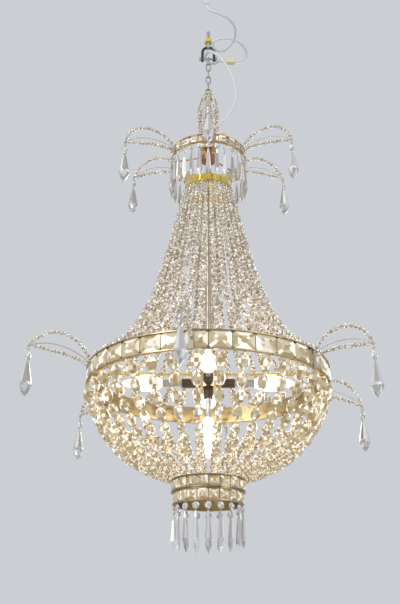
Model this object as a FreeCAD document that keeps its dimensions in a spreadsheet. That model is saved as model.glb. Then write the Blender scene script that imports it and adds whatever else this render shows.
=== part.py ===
"""Crystal chandelier of the tent-and-basket kind, as a parametric document.

A shackle and a short chain hang from a screw-in ceiling hook. They carry a stem with a beaded neck,
a small crown ring with a fringe of prisms, a tent of bead strings that opens onto the main ring, a
basket of ovals and beads under it, and a small two-tier ring with long prisms at the bottom. Twelve
sprays of beads on bent wire carry a pear drop each. Five candle bulbs stand on a hub in the basket.

Millimetres. The origin is at the ceiling, on the hook's axis, +Z is up and -Y faces the viewer, so
every depth below the ceiling is a positive size. Angles are degrees about Z, counted from the viewer
towards +X.
"""
import FreeCAD, Part
import Sketcher
import math
import os

V = FreeCAD.Vector
UP = V(0, 0, 1)

# alias, value, what it is
SIZES = (
    ("shank_radius", 4, "threaded shank of the ceiling hook"),
    ("shank_length", 28, "shank above the ceiling"),
    ("cap_radius", 9.5, "yellow cap under the ceiling"),
    ("cap_height", 11, "yellow cap"),
    ("eye_radius", 9, "ring of the hook, to the middle of its wire"),
    ("eye_wire", 3, "radius of the hook's wire"),
    ("joint_gap", 0.3, "clearance between links that move on each other"),
    ("seat_gap", 0.25, "clearance where one piece is seated on another"),
    ("shackle_wire", 3.5, "radius of the shackle's bar"),
    ("shackle_half_width", 14.5, "shackle's bow, to the middle of its bar"),
    ("shackle_leg", 23.3, "straight leg of the shackle"),
    ("pin_radius", 3, "shackle pin"),
    ("pin_head_radius", 5.5, "ends of the shackle pin"),
    ("pin_head_length", 4, "ends of the shackle pin"),
    ("link_wire", 1.6, "radius of the chain's wire"),
    ("link_half_width", 5, "chain link, to the middle of its wire"),
    ("link_straight", 13.2, "straight side of a chain link"),
    ("link_count", 5, "chain links"),
    ("stem_eye_radius", 6.5, "ring on top of the stem"),
    ("stem_eye_wire", 1.8, "radius of that ring's wire"),
    ("stem_radius", 6, "stem tube"),
    ("stem_bore", 4.5, "stem tube"),
    ("stem_plug", 14, "solid top of the stem, under its ring"),
    ("wiring_radius", 3, "lamp wires in the stem"),
    ("neck_depth", 172, "top of the beaded neck"),
    ("neck_height", 160, "beaded neck"),
    ("neck_top_radius", 8.5, "neck's bead strings at the top"),
    ("neck_belly_radius", 26, "how far the neck's belly is drawn out"),
    ("neck_foot_radius", 17.5, "neck's bead strings at the foot"),
    ("neck_strings", 11, "bead strings round the neck"),
    ("neck_beads", 18, "beads on each of them"),
    ("cap_plate", 3, "brass discs above and below the neck"),
    ("crown_depth", 348, "top edge of the crown ring"),
    ("crown_radius", 89, "crown ring outside"),
    ("crown_height", 21, "crown ring"),
    ("crown_crystals", 24, "cut blocks set round the crown ring"),
    ("crown_prisms", 28, "prisms hanging from the crown ring"),
    ("crown_spider_angle", 16, "first spoke of the crown's spider"),
    ("hub_radius", 16, "hub of the crown's spider"),
    ("hub_height", 16, "hub of the crown's spider"),
    ("spoke_radius", 1.5, "spokes of the crown and the collar"),
    ("band_wall", 1.5, "wall of a ring's band"),
    ("rim_depth", 5, "how far a ring's rims stand out round the crystals"),
    ("rim_height", 2, "rims of a ring"),
    ("crystal_gap", 1.6, "gold between two crystals of a ring"),
    ("collar_depth", 428, "top of the fluted collar"),
    ("collar_radius", 50, "fluted collar outside"),
    ("collar_height", 20, "fluted collar"),
    ("collar_wall", 4, "fluted collar"),
    ("collar_flutes", 26, "flutes round the collar"),
    ("flute_radius", 2.4, "flutes round the collar"),
    ("flange_radius", 56, "flange under the collar that the tent hangs from"),
    ("flange_height", 1.5, "that flange"),
    ("tent_top_radius", 54, "tent's bead strings at the collar"),
    ("tent_strings", 36, "bead strings of the tent"),
    ("tent_beads", 38, "beads on each of them"),
    ("tent_top_reach", 210, "how far down the collar's end of a string runs steep"),
    ("tent_top_lean", 13, "how far it leans out from upright, degrees"),
    ("tent_end_reach", 150, "how far in the ring's end of a string runs flat"),
    ("tent_end_rise", 29, "how far it rises from level, degrees"),
    ("tent_first_bead", 4.1, "bead radius at the collar"),
    ("tent_last_bead", 8.2, "bead radius at the main ring"),
    ("ring_depth", 888, "top edge of the main ring"),
    ("ring_radius", 250, "main ring outside"),
    ("ring_height", 37, "main ring"),
    ("ring_crystals", 36, "cut blocks set round the main ring"),
    ("string_wire", 0.8, "radius of the wire through the beads"),
    ("string_end", 4.5, "bare wire at each end of a basket string"),
    ("basket_strings", 36, "strings of the basket"),
    ("basket_ovals", 5, "large ovals at the top of each"),
    ("basket_beads", 8, "beads below the ovals"),
    ("basket_top_drop", 115, "how far down a string hangs steep from the ring"),
    ("basket_top_lean", 17, "how far it leans in from upright, degrees"),
    ("basket_end_reach", 98, "how far out a string runs flat to the bottom ring"),
    ("basket_end_rise", 17, "how far it rises from level there, degrees"),
    ("oval_radius", 11, "first ovals of the basket"),
    ("last_bead_radius", 5.2, "last beads of the basket"),
    ("foot_depth", 1107, "top edge of the bottom ring"),
    ("foot_radius", 73, "bottom ring's upper tier outside"),
    ("foot_height", 24, "bottom ring's upper tier"),
    ("foot_crystals", 20, "cut blocks of each tier"),
    ("foot_step", 3, "how much smaller the lower tier is"),
    ("foot_low_height", 24, "bottom ring's lower tier"),
    ("foot_prisms", 18, "prisms hanging from the bottom ring"),
    ("button_radius", 7, "round bead above each prism"),
    ("prism_radius", 6.2, "prisms"),
    ("crown_prism_length", 66, "prisms of the crown"),
    ("foot_prism_length", 62, "prisms of the bottom ring"),
    ("prism_wire", 0.7, "radius of the pins that join beads and prisms"),
    ("spray_count", 6, "sprays round each ring"),
    ("ring_spray_angle", -7, "first spray of the main ring"),
    ("crown_spray_angle", 0, "first spray of the crown ring"),
    ("ring_spray_reach", 120, "main ring's sprays, outwards"),
    ("crown_spray_reach", 123, "crown ring's sprays, outwards"),
    ("ring_spray_rise", 37, "height of their upper string's arch"),
    ("crown_spray_rise", 38, "height of their upper string's arch"),
    ("spray_low_rise", 10, "height of their lower string's arch"),
    ("spray_upper_angle", 68, "how steeply the upper string meets a spray's tip, degrees"),
    ("spray_lower_angle", 6, "how steeply the lower string meets it, degrees"),
    ("spray_split", 12, "gap of the two strings at the bracket"),
    ("spray_beads", 14, "beads on each string of a spray"),
    ("spray_bead_radius", 4.2, "beads of the sprays"),
    ("spray_top", 5, "upper string of a spray below its ring's top edge"),
    ("bracket_wall", 2, "brackets of the sprays"),
    ("bracket_width", 9, "brackets of the sprays"),
    ("knuckle_radius", 3, "tip of a spray"),
    ("tip_eye_radius", 3.2, "eye at a spray's tip, to the middle of its wire"),
    ("tip_eye_wire", 0.8, "radius of that wire"),
    ("drop_ring_radius", 2.6, "ring of a pear drop, to the middle of its wire"),
    ("drop_ring_wire", 0.6, "radius of that wire"),
    ("drop_bead_radius", 5.6, "bead above a pear drop"),
    ("drop_bead_length", 20, "bead above a pear drop"),
    ("drop_radius", 12, "pear drop"),
    ("drop_length", 66, "pear drop"),
    ("spider_bar_width", 9, "cross bars that carry the main ring"),
    ("spider_bar_height", 3, "cross bars that carry the main ring"),
    ("spider_hub_radius", 19, "hub of the cross bars"),
    ("lamp_hub_radius", 21, "hub that carries the lampholders"),
    ("lamp_hub_height", 28, "hub that carries the lampholders"),
    ("lamp_hub_socket", 12, "how far the middle holder goes up into that hub"),
    ("side_lamps", 4, "lamps that point outwards"),
    ("holder_radius", 10, "lampholders"),
    ("holder_length", 33, "lampholders"),
    ("holder_bore", 7.3, "lampholders"),
    ("holder_floor", 4, "lampholders"),
    ("holder_ribs", 5, "ribs round a lampholder"),
    ("base_radius", 7, "screw base of a bulb"),
    ("base_length", 26, "screw base of a bulb"),
    ("sleeve_radius", 6.6, "neck of a bulb where it leaves the holder"),
    ("sleeve_length", 40, "neck of a bulb"),
    ("globe_radius", 16.5, "glass of a bulb"),
    ("globe_length", 82, "glass of a bulb"),
    ("flex_radius", 3.2, "white flex"),
    ("block_length", 24, "terminal blocks"),
    ("block_height", 13, "terminal blocks"),
    ("block_width", 11, "terminal blocks"),
    ("gland_radius", 9, "ceiling outlet of the supply cable"),
    ("gland_height", 9, "ceiling outlet of the supply cable"),
)
# Shares of a string's beads above each of its pinned joints, where it comes apart.
TENT_JOINTS = (0.62, 0.84)
BASKET_JOINTS = (1 / 3, 2 / 3)
SPRAY_TILTS = {  # hand-bent sprays: how far each is bent up at its bracket, in degrees
    "ring": (2, -2, -6, -6, -6, 11),
    "crown": (0, -8, 9, 0, 11, -11),
}
# Routes of the cables as (x, towards the viewer, depth below the ceiling), chosen by hand.
SUPPLY_ROUTE = (
    (-3, 130, 9), (-3, 130, 20), (8, 131, 30), (26, 129, 35), (46, 119, 38), (61, 102, 41),
    (67, 80, 44), (64, 50, 46), (48, 21, 46), (30, 9, 44), (14, 17, 41), (10, 32, 38),
    (20, 43, 35.5), (42, 47, 34), (68, 42, 35), (90, 25, 41), (97, 11, 51), (91, 3.5, 62),
    (79, 3, 69), (66, 3, 69),
)
FLEX_ROUTE = (
    (42, 3, 69), (36, 3, 69), (30.2, -0.1, 66.6), (25.7, -9.1, 59.6), (22.5, -22, 53),
    (12, -30, 48), (-1, -29, 45), (-7, -18.5, 43.5), (-6, -4, 44), (-2, 14, 48), (9, 30, 60),
    (27, 39, 85), (46, 42, 117), (61, 42, 156), (67, 42, 200), (61, 42, 240), (44, 44, 272),
    (22, 48, 298), (5, 53, 310), (-8, 59, 321), (-10, 64, 334), (0, 66.5, 342.5), (14.5, 66.5, 343),
)


class Size:
    """A number and the sheet expression that it comes from, kept together."""

    def __init__(self, value, text):
        self.value = float(value)
        self.text = text

    def join(self, other, sign, swap=False):
        if not isinstance(other, Size):
            other = Size(other, "%.6g" % other)
        a, b = (other, self) if swap else (self, other)
        results = {
            "+": lambda: a.value + b.value,
            "-": lambda: a.value - b.value,
            "*": lambda: a.value * b.value,
            "/": lambda: a.value / b.value,
        }
        return Size(results[sign](), "(%s %s %s)" % (a.text, sign, b.text))

    def __add__(self, other):
        return self.join(other, "+")

    def __radd__(self, other):
        return self.join(other, "+", True)

    def __sub__(self, other):
        return self.join(other, "-")

    def __rsub__(self, other):
        return self.join(other, "-", True)

    def __mul__(self, other):
        return self.join(other, "*")

    def __rmul__(self, other):
        return self.join(other, "*", True)

    def __truediv__(self, other):
        return self.join(other, "/")

    def __neg__(self):
        return Size(0, "0") - self

    def __float__(self):
        return self.value

    def __int__(self):
        return int(round(self.value))


class Sizes:
    """The driving dimensions by name."""


doc = FreeCAD.newDocument("chandelier")
sheet = doc.addObject("Spreadsheet::Sheet", "sizes")
S = Sizes()
PARTS = []


def fill_sheet():
    for row, (alias, value, note) in enumerate(SIZES, 1):
        sheet.set("A%d" % row, note)
        sheet.set("B%d" % row, "%.6g" % value)
        sheet.setAlias("B%d" % row, alias)
    doc.recompute()
    for alias, _, _ in SIZES:
        setattr(S, alias, Size(sheet.get(alias), "sizes.%s" % alias))


# ---------------------------------------------------------------- ways of making things
def bound(kind, name, place=(0, 0, 0), **properties):
    """A Part primitive whose properties and place follow the sheet."""
    piece = doc.addObject(kind, name)
    for key, value in properties.items():
        if isinstance(value, Size):
            piece.setExpression(key, value.text)
        else:
            setattr(piece, key, value)
    for axis, value in zip("xyz", place):
        if isinstance(value, Size):
            piece.setExpression("Placement.Base." + axis, value.text)
        else:
            setattr(piece.Placement.Base, axis, value)
    return piece


def fused(name, pieces):
    whole = doc.addObject("Part::MultiFuse", name)
    whole.Shapes = pieces
    return whole


def cut(name, base, tool):
    rest = doc.addObject("Part::Cut", name)
    rest.Base = base
    rest.Tool = tool
    return rest


def turned(name, outline):
    """A body revolved about Z from an outline of (radius, height) corners bound to the sheet."""
    body = doc.addObject("PartDesign::Body", name)
    sketch = body.newObject("Sketcher::SketchObject", name + "_outline")
    planes = [plane for plane in body.Origin.OriginFeatures if plane.Role == "XZ_Plane"]
    sketch.AttachmentSupport = [(planes[0], "")]
    sketch.MapMode = "FlatFace"
    corners = [V(float(radius), float(height), 0) for radius, height in outline]
    count = len(corners)
    for n in range(count):
        sketch.addGeometry(Part.LineSegment(corners[n], corners[(n + 1) % count]), False)
    for n in range(count):
        sketch.addConstraint(Sketcher.Constraint("Coincident", n, 2, (n + 1) % count, 1))
    for n, (radius, height) in enumerate(outline):
        if isinstance(radius, Size):
            hold(sketch, "DistanceX", n, radius)
        else:
            sketch.addConstraint(Sketcher.Constraint("PointOnObject", n, 1, -2))
        hold(sketch, "DistanceY", n, height)
    revolution = body.newObject("PartDesign::Revolution", name + "_turn")
    revolution.Profile = sketch
    revolution.ReferenceAxis = (sketch, ["V_Axis"])
    revolution.Angle = 360
    return body


def hold(sketch, kind, corner, value):
    """Fix one coordinate of a sketch corner, from the origin, to a number or a sheet value."""
    number = sketch.addConstraint(Sketcher.Constraint(kind, -1, 1, corner, 1, float(value)))
    if isinstance(value, Size):
        sketch.setExpression("Constraints[%d]" % number, value.text)


def group(name, shapes):
    """Separate solids of one kind under one name."""
    feature = doc.addObject("Part::Feature", name)
    feature.Shape = Part.makeCompound(shapes)
    return feature


def keep(label, piece):
    """Name a finished sub-part."""
    piece.Label = label
    PARTS.append(piece)
    return piece


def placed(shape, place=V(), rotation=FreeCAD.Rotation()):
    copy = shape.copy()
    copy.Placement = FreeCAD.Placement(place, rotation).multiply(copy.Placement)
    return copy


def about_z(angle):
    """Turn from the viewer's direction towards +X."""
    return FreeCAD.Rotation(UP, angle)


def around(shape, count, first=0.0):
    """Copies of a shape that is built on the viewer's side of the axis."""
    number = int(count)
    return [placed(shape, V(), about_z(float(first) + 360.0 * n / number)) for n in range(number)]


def flat_point(radius, height):
    """A point on the viewer's side, in the upright plane through the axis."""
    return V(0, -float(radius), float(height))


def curve(points):
    bezier = Part.BezierCurve()
    bezier.setPoles(points)
    return bezier.toShape()


def lathe(outline):
    """A solid turned about Z from (radius, height) corners in plain numbers."""
    corners = [V(radius, 0, height) for radius, height in outline]
    return Part.Face(Part.makePolygon(corners + corners[:1])).revolve(V(), UP, 360)


def round_bead(length, radius, tip):
    half = length / 2
    waist = 0.12 * length
    return lathe([(0, -half), (tip, -half), (radius, -waist), (radius, waist), (tip, half), (0, half)])


def oval_bead(length, radius, tip):
    half = length / 2
    return lathe([
        (0, -half), (tip, -half), (0.74 * radius, -0.32 * length), (radius, -0.06 * length),
        (radius, 0.06 * length), (0.74 * radius, 0.32 * length), (tip, half), (0, half),
    ])


def threaded(points, radii, ovals=0, start=0.0, end=0.0, gap=0.6, joints=()):
    """One string: a bead at each inner point, and the wire that shows between them and at the ends.

    start and end are lengths of bare wire, and the first beads may be ovals. At each joint, a share of
    the beads, two lengths of the string meet with a small gap in the wire. Returns the lengths.
    """
    wire = float(S.string_wire)
    hidden = 1.25 * wire
    pieces = []
    stops = [points[0]]
    for n, radius in enumerate(radii, 1):
        before = (points[n] - points[n - 1]).Length - (start if n == 1 else 0)
        after = (points[n + 1] - points[n]).Length - (end if n == len(radii) else 0)
        length = min(before if n == 1 else before / 2, after if n == len(radii) else after / 2)
        shape = oval_bead if n <= ovals else round_bead
        solid = shape(2 * length - gap, radius, 1.7 * wire)
        along = points[n + 1] - points[n - 1]
        along.normalize()
        pieces.append(placed(solid, points[n], FreeCAD.Rotation(UP, along)))
        inside = along * (length - gap / 2 - hidden)
        stops += [points[n] - inside, points[n] + inside]
    stops.append(points[-1])
    bars = list(zip(stops[::2], stops[1::2]))
    ends = [0] + [round(share * len(radii)) for share in joints] + [len(radii)]
    lengths = []
    for first, last in zip(ends[:-1], ends[1:]):
        wires = bars[first:last + 1]
        if first:
            wires[0] = (halfway(*wires[0], gap / 4), wires[0][1])
        if last < len(radii):
            wires[-1] = (wires[-1][0], halfway(*wires[-1], -gap / 4))
        section = pieces[first:last] + [bar(a, b, wire) for a, b in wires]
        lengths.append(section[0].multiFuse(section[1:]).Solids[0])
    return lengths


def halfway(a, b, beyond):
    """The point a little beyond the middle of two points."""
    along = b - a
    along.normalize()
    return (a + b) * 0.5 + along * beyond


def spaced(edge, lengths, start=0.0, end=0.0):
    """Points along an edge: its start, the middle of each length in turn, and its end.

    start and end are kept bare, and the rest is shared in proportion to the lengths.
    """
    scale = (edge.Length - start - end) / sum(lengths)
    points = [edge.valueAt(edge.FirstParameter)]
    reached = start
    for length in lengths:
        middle = reached + scale * length / 2
        points.append(edge.valueAt(edge.getParameterByLength(middle)))
        reached += scale * length
    points.append(edge.valueAt(edge.LastParameter))
    return points


def graded(first, last, count):
    return [first + (last - first) * n / max(count - 1, 1) for n in range(count)]


def bar(a, b, radius):
    """A round bar from one point to another."""
    return Part.makeCylinder(radius, (b - a).Length, a, b - a)


# ---------------------------------------------------------------- hook, shackle and chain
def eye_depth():
    """Middle of the hook's ring, below the ceiling."""
    return S.cap_height + S.eye_radius


def swing_depth():
    """Middle of the hook's wire where the shackle hangs: the first swing axis."""
    return eye_depth() + S.eye_radius


def pin_depth():
    """Middle of the shackle pin: the second swing axis."""
    bow = swing_depth() - S.eye_wire - S.shackle_wire - S.joint_gap
    return bow + S.shackle_half_width + S.shackle_leg


def make_hook():
    shank = bound("Part::Cylinder", "hook_shank", Radius=S.shank_radius, Height=S.shank_length)
    neck = bound("Part::Cylinder", "hook_neck", Radius=S.eye_wire, Height=S.cap_height,
                 place=(0, 0, -S.cap_height))
    ring = bound("Part::Torus", "hook_ring", Radius1=S.eye_radius, Radius2=S.eye_wire)
    ring.Placement.Rotation = FreeCAD.Rotation(V(0, 1, 0), 90)
    ring.setExpression("Placement.Base.z", (-eye_depth()).text)
    keep("ceiling_hook", fused("hook", [shank, neck, ring]))
    inner = S.eye_wire + S.seat_gap
    low = S.cap_height - S.eye_wire
    keep("hook_cap", turned("cap", [
        (inner, -S.seat_gap), (S.cap_radius, -S.seat_gap), (S.cap_radius, -low), (inner, -low),
    ]))


def make_shackle():
    top = swing_depth() - S.eye_wire - S.shackle_wire - S.joint_gap
    bow_depth = float(top + S.shackle_half_width)
    half = float(S.shackle_half_width)
    leg_end = -float(pin_depth()) - float(S.pin_head_radius)
    bow = [V(-half, 0, -bow_depth), V(0, 0, -bow_depth + half), V(half, 0, -bow_depth)]
    path = Part.Wire([
        Part.LineSegment(V(-half, 0, leg_end), bow[0]).toShape(),
        Part.Arc(*bow).toShape(),
        Part.LineSegment(bow[2], V(half, 0, leg_end)).toShape(),
    ])
    section = Part.Wire(Part.makeCircle(float(S.shackle_wire), V(-half, 0, leg_end), UP))
    solid = path.makePipeShell([section], True, False)
    hole = Part.makeCylinder(float(S.pin_radius), 4 * half, V(-2 * half, 0, -float(pin_depth())), V(1, 0, 0))
    keep("shackle_bow", group("bow", [solid.cut(hole)]))
    outside = S.shackle_half_width + S.shackle_wire + S.joint_gap
    shaft = bound("Part::Cylinder", "pin_shaft", Radius=S.pin_radius - S.seat_gap / 5, Height=outside * 2)
    heads = [
        bound("Part::Cylinder", "pin_head_left", Radius=S.pin_head_radius, Height=S.pin_head_length),
        bound("Part::Cylinder", "pin_head_right", Radius=S.pin_head_radius, Height=S.pin_head_length),
    ]
    for piece, x in ((shaft, -outside), (heads[0], -outside - S.pin_head_length), (heads[1], outside)):
        piece.Placement.Rotation = FreeCAD.Rotation(V(0, 1, 0), 90)
        piece.setExpression("Placement.Base.x", x.text)
        piece.setExpression("Placement.Base.z", (-pin_depth()).text)
    keep("shackle_pin", fused("pin", [shaft] + heads))


def link(across):
    """A chain link in the upright plane whose level direction is given, its top at the origin."""
    half, straight, wire = float(S.link_half_width), float(S.link_straight), float(S.link_wire)
    top, low = -half, -half - straight
    corners = [across * half, across * -half]
    path = Part.Wire([
        Part.Arc(corners[0] + V(0, 0, top), V(0, 0, 0), corners[1] + V(0, 0, top)).toShape(),
        Part.LineSegment(corners[1] + V(0, 0, top), corners[1] + V(0, 0, low)).toShape(),
        Part.Arc(corners[1] + V(0, 0, low), V(0, 0, low - half), corners[0] + V(0, 0, low)).toShape(),
        Part.LineSegment(corners[0] + V(0, 0, low), corners[0] + V(0, 0, top)).toShape(),
    ])
    section = Part.Wire(Part.makeCircle(wire, corners[1] + V(0, 0, (top + low) / 2), UP))
    sides = path.makePipeShell([section], True, False)
    return sides


def link_pitch():
    """From one link's top to the next one's."""
    return S.link_half_width * 2 + S.link_straight - S.link_wire * 2 - S.joint_gap


def first_link_depth():
    return pin_depth() - S.pin_radius - S.link_wire - S.joint_gap


def stem_eye_depth():
    """Middle of the ring on top of the stem."""
    last = first_link_depth() + link_pitch() * S.link_count
    return last - S.stem_eye_wire + S.link_wire + S.stem_eye_radius


def make_chain():
    links = []
    for n in range(int(S.link_count)):
        across = V(0, 1, 0) if n % 2 == 0 else V(1, 0, 0)
        depth = float(first_link_depth()) + n * float(link_pitch())
        links.append(placed(link(across), V(0, 0, -depth)))
    keep("chain_links", group("chain", links))


# ---------------------------------------------------------------- stem and neck
def hub_top():
    return S.crown_depth + S.rim_height


def spoke_depth():
    """Middle of the crown's spokes."""
    return hub_top() + S.spoke_radius + S.seat_gap


def make_stem():
    ring = bound("Part::Torus", "stem_ring", Radius1=S.stem_eye_radius, Radius2=S.stem_eye_wire)
    axis = V(1, 0, 0) if int(S.link_count) % 2 else V(0, 1, 0)
    ring.Placement.Rotation = FreeCAD.Rotation(axis, 90)
    ring.setExpression("Placement.Base.z", (-stem_eye_depth()).text)
    top = stem_eye_depth() + S.stem_eye_radius
    tube = bound("Part::Cylinder", "stem_outside", Radius=S.stem_radius,
                 Height=stem_foot() - top, place=(0, 0, -stem_foot()))
    bore = bound("Part::Cylinder", "stem_hollow", Radius=S.stem_bore,
                 Height=stem_foot() - top - S.stem_plug, place=(0, 0, -stem_foot()))
    solid = fused("stem_solid", [tube, ring])
    keep("stem_tube", cut("stem", solid, bore))
    keep("stem_wiring", bound("Part::Cylinder", "wiring", Radius=S.wiring_radius,
                              Height=stem_foot() - top - S.stem_plug - 2 * S.cap_plate,
                              place=(0, 0, -stem_foot() + S.seat_gap)))


def stem_foot():
    """Where the stem stands on the lamp hub."""
    return S.ring_depth + S.seat_gap + S.spider_bar_height


def neck_disc(name, depth, radius):
    """A brass disc round the stem, its top at the depth."""
    inner = S.stem_radius + S.seat_gap
    return turned(name, [
        (inner, -depth), (radius, -depth),
        (radius, -depth - S.cap_plate), (inner, -depth - S.cap_plate),
    ])


def make_neck():
    keep("neck_cap", neck_disc("cap_disc", S.neck_depth, S.neck_top_radius + S.cap_plate))
    foot = S.neck_depth + S.cap_plate + S.neck_height
    keep("neck_dish", neck_disc("dish_disc", foot, S.neck_foot_radius + 2 * S.cap_plate))
    high = -float(S.neck_depth + S.cap_plate + S.seat_gap + S.string_wire)
    low = -float(foot) + float(S.seat_gap)
    fall = high - low
    profile = curve([
        flat_point(S.neck_top_radius, high),
        flat_point(S.neck_top_radius + S.neck_belly_radius, high - 0.18 * fall),
        flat_point(S.neck_foot_radius + 4, high - 0.42 * fall),
        flat_point(S.neck_foot_radius, low),
    ])
    lengths = graded(1.0, 1.15, int(S.neck_beads))
    radii = graded(2.6, 4.4, int(S.neck_beads))
    string = threaded(spaced(profile, lengths, 1.0, 1.0), radii, start=1.0, end=1.0)
    keep("neck_strings", group("neck", around(string[0], S.neck_strings)))


# ---------------------------------------------------------------- rings
def band(name, depth, radius, height):
    """A ring's band with a rim at each edge that frames the crystals."""
    wall = radius - S.rim_depth
    inner = wall - S.band_wall
    low = depth + height
    return turned(name, [
        (inner, -depth), (radius, -depth), (radius, -depth - S.rim_height), (wall, -depth - S.rim_height),
        (wall, -low + S.rim_height), (radius, -low + S.rim_height), (radius, -low), (inner, -low),
    ])


def crystals(name, depth, radius, height, count):
    """Table-cut blocks that fill the channel of a ring, each a tapered wedge."""
    number = int(count)
    pitch = 2 * math.pi / number
    back = float(radius - S.rim_depth) + float(S.seat_gap)
    front = float(radius) - float(S.seat_gap)
    half_high = float(height) / 2 - float(S.rim_height) - float(S.seat_gap)
    reach = back + 0.45 * (front - back)
    half_wide = reach * math.tan(pitch / 2) - float(S.crystal_gap) / 2
    table = 0.62
    front -= (table * half_wide) ** 2 / (2 * front)
    middle = -float(depth) - float(height) / 2
    inner = math.sqrt(back ** 2 - half_wide ** 2)
    lower = Part.makeBox(2 * half_wide, reach - inner, 2 * half_high, V(-half_wide, -reach, -half_high))
    seat = Part.makeCylinder(back, 4 * half_high, V(0, 0, -2 * half_high))
    loft = Part.makeLoft([
        Part.makePolygon([V(x * half_wide, -reach, z * half_high)
                          for x, z in ((-1, -1), (1, -1), (1, 1), (-1, 1), (-1, -1))]),
        Part.makePolygon([V(x * half_wide * table, -front, z * half_high * table)
                          for x, z in ((-1, -1), (1, -1), (1, 1), (-1, 1), (-1, -1))]),
    ], True, True)
    block = lower.cut(seat).fuse(loft).removeSplitter()
    blocks = around(placed(block, V(0, 0, middle)), number, 180.0 / number)
    return group(name, blocks)


def prism(length):
    """A round bead and a spear prism on pins, hanging from the origin."""
    wire, button = float(S.prism_wire), float(S.button_radius)
    radius = float(S.prism_radius)
    top = -2.0
    bead = round_bead(0.9 * button, button, 1.6)
    bead = placed(bead, V(), FreeCAD.Rotation(V(1, 0, 0), 90))
    start = top - 2 * button - 3.0
    spear = lathe([
        (0, start), (1.8, start), (0.55 * radius, start - 0.18 * length), (radius, start - 0.78 * length),
        (0.3, start - length), (0, start - length),
    ])
    pin = Part.makeCylinder(wire, -start + 2, V(0, 0, start - 2))
    return placed(bead, V(0, 0, top - button)).multiFuse([spear, pin]).Solids[0]


def make_crown():
    keep("crown_band", band("crown", S.crown_depth, S.crown_radius, S.crown_height))
    keep("crown_crystals", crystals("crown_stones", S.crown_depth, S.crown_radius, S.crown_height,
                                    S.crown_crystals))
    inner = float(S.stem_radius + S.seat_gap)
    top, height = -float(hub_top()), float(S.hub_height)
    hub = Part.makeCylinder(float(S.hub_radius), height, V(0, 0, top - height))
    hole = Part.makeCylinder(inner, height, V(0, 0, top - height))
    wall = float(S.crown_radius - S.rim_depth - S.band_wall) - float(S.seat_gap)
    level = -float(spoke_depth())
    start = (inner + float(S.hub_radius)) / 2
    spoke = bar(flat_point(start, level), flat_point(wall, level), float(S.spoke_radius))
    spokes = around(spoke, 3, float(S.crown_spider_angle))
    keep("crown_spider", group("crown_hub", [hub.cut(hole).multiFuse(spokes).Solids[0]]))
    hang = float(S.crown_radius) - float(S.rim_depth) / 2
    fringe = placed(prism(float(S.crown_prism_length)),
                    flat_point(hang, -float(S.crown_depth + S.crown_height + S.seat_gap)))
    keep("crown_prisms", group("crown_fringe", around(fringe, S.crown_prisms)))


def make_collar():
    low = S.collar_depth + S.collar_height
    inner = S.collar_radius - S.collar_wall
    ring = turned("collar_ring", [
        (inner, -S.collar_depth), (S.collar_radius, -S.collar_depth), (S.collar_radius, -low),
        (S.flange_radius, -low), (S.flange_radius, -low - S.flange_height), (inner, -low - S.flange_height),
    ])
    doc.recompute()
    flute = Part.makeCylinder(float(S.flute_radius), float(S.collar_height) + 1,
                              flat_point(S.collar_radius, -float(low)))
    body = ring.Shape.cut(Part.makeCompound(around(flute, S.collar_flutes)))
    keep("tent_collar", group("collar", [body]))
    hole_radius = float(S.stem_radius + S.seat_gap)
    hub_radius = hole_radius + 6
    level = -float(S.collar_depth) - float(S.collar_height) / 2
    hub = Part.makeCylinder(hub_radius, 12, V(0, 0, level - 6))
    hole = Part.makeCylinder(hole_radius, 12, V(0, 0, level - 6))
    spoke = bar(flat_point(hub_radius - 2, level), flat_point(float(inner) - float(S.seat_gap), level),
                float(S.spoke_radius))
    spider = hub.cut(hole).multiFuse(around(spoke, 3, float(S.crown_spider_angle))).Solids[0]
    keep("collar_spider", group("collar_hub", [spider]))


def make_main_ring():
    keep("main_ring_band", band("ring", S.ring_depth, S.ring_radius, S.ring_height))
    keep("main_ring_crystals", crystals("ring_stones", S.ring_depth, S.ring_radius, S.ring_height,
                                        S.ring_crystals))
    top = -float(S.ring_depth) - float(S.seat_gap)
    thick = float(S.spider_bar_height)
    hub = Part.makeCylinder(float(S.spider_hub_radius), thick, V(0, 0, top - thick))
    hole = Part.makeCylinder(float(S.stem_radius + S.seat_gap), thick, V(0, 0, top - thick))
    wide = float(S.spider_bar_width)
    wall = float(S.ring_radius - S.rim_depth - S.band_wall)
    reach = math.sqrt(wall ** 2 - wide ** 2 / 4) - float(S.seat_gap)
    inner = float(S.stem_radius) + 6
    arm = Part.makeBox(wide, reach - inner, thick, V(-wide / 2, -reach, top - thick))
    keep("main_spider", group("spider", [hub.cut(hole).multiFuse(around(arm, 4)).Solids[0]]))


def make_bottom_ring():
    low = S.foot_depth + S.foot_height + S.seat_gap
    smaller = S.foot_radius - S.foot_step
    keep("bottom_ring_upper", band("foot_upper", S.foot_depth, S.foot_radius, S.foot_height))
    keep("bottom_ring_lower", band("foot_lower", low, smaller, S.foot_low_height))
    keep("bottom_crystals_upper", crystals("foot_stones_upper", S.foot_depth, S.foot_radius,
                                           S.foot_height, S.foot_crystals))
    keep("bottom_crystals_lower", crystals("foot_stones_lower", low, smaller, S.foot_low_height,
                                           S.foot_crystals))
    hang = float(smaller) - float(S.rim_depth) / 2
    fringe = placed(prism(float(S.foot_prism_length)),
                    flat_point(hang, -float(low + S.foot_low_height + S.seat_gap)))
    keep("bottom_prisms", group("foot_fringe", around(fringe, S.foot_prisms)))


# ---------------------------------------------------------------- tent and basket
def quarters(label, string, count):
    """Repeat a string round the axis and share the copies among four nodes."""
    copies = [around(length, count, 180.0 / int(count)) for length in string]
    share = int(count) / 4
    for n, side in enumerate(("front_right", "back_right", "back_left", "front_left")):
        part = [copy for ring in copies for copy in ring[round(n * share):round((n + 1) * share)]]
        keep("%s_%s" % (label, side), group("%s_%s_strings" % (label, side), part))


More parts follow.
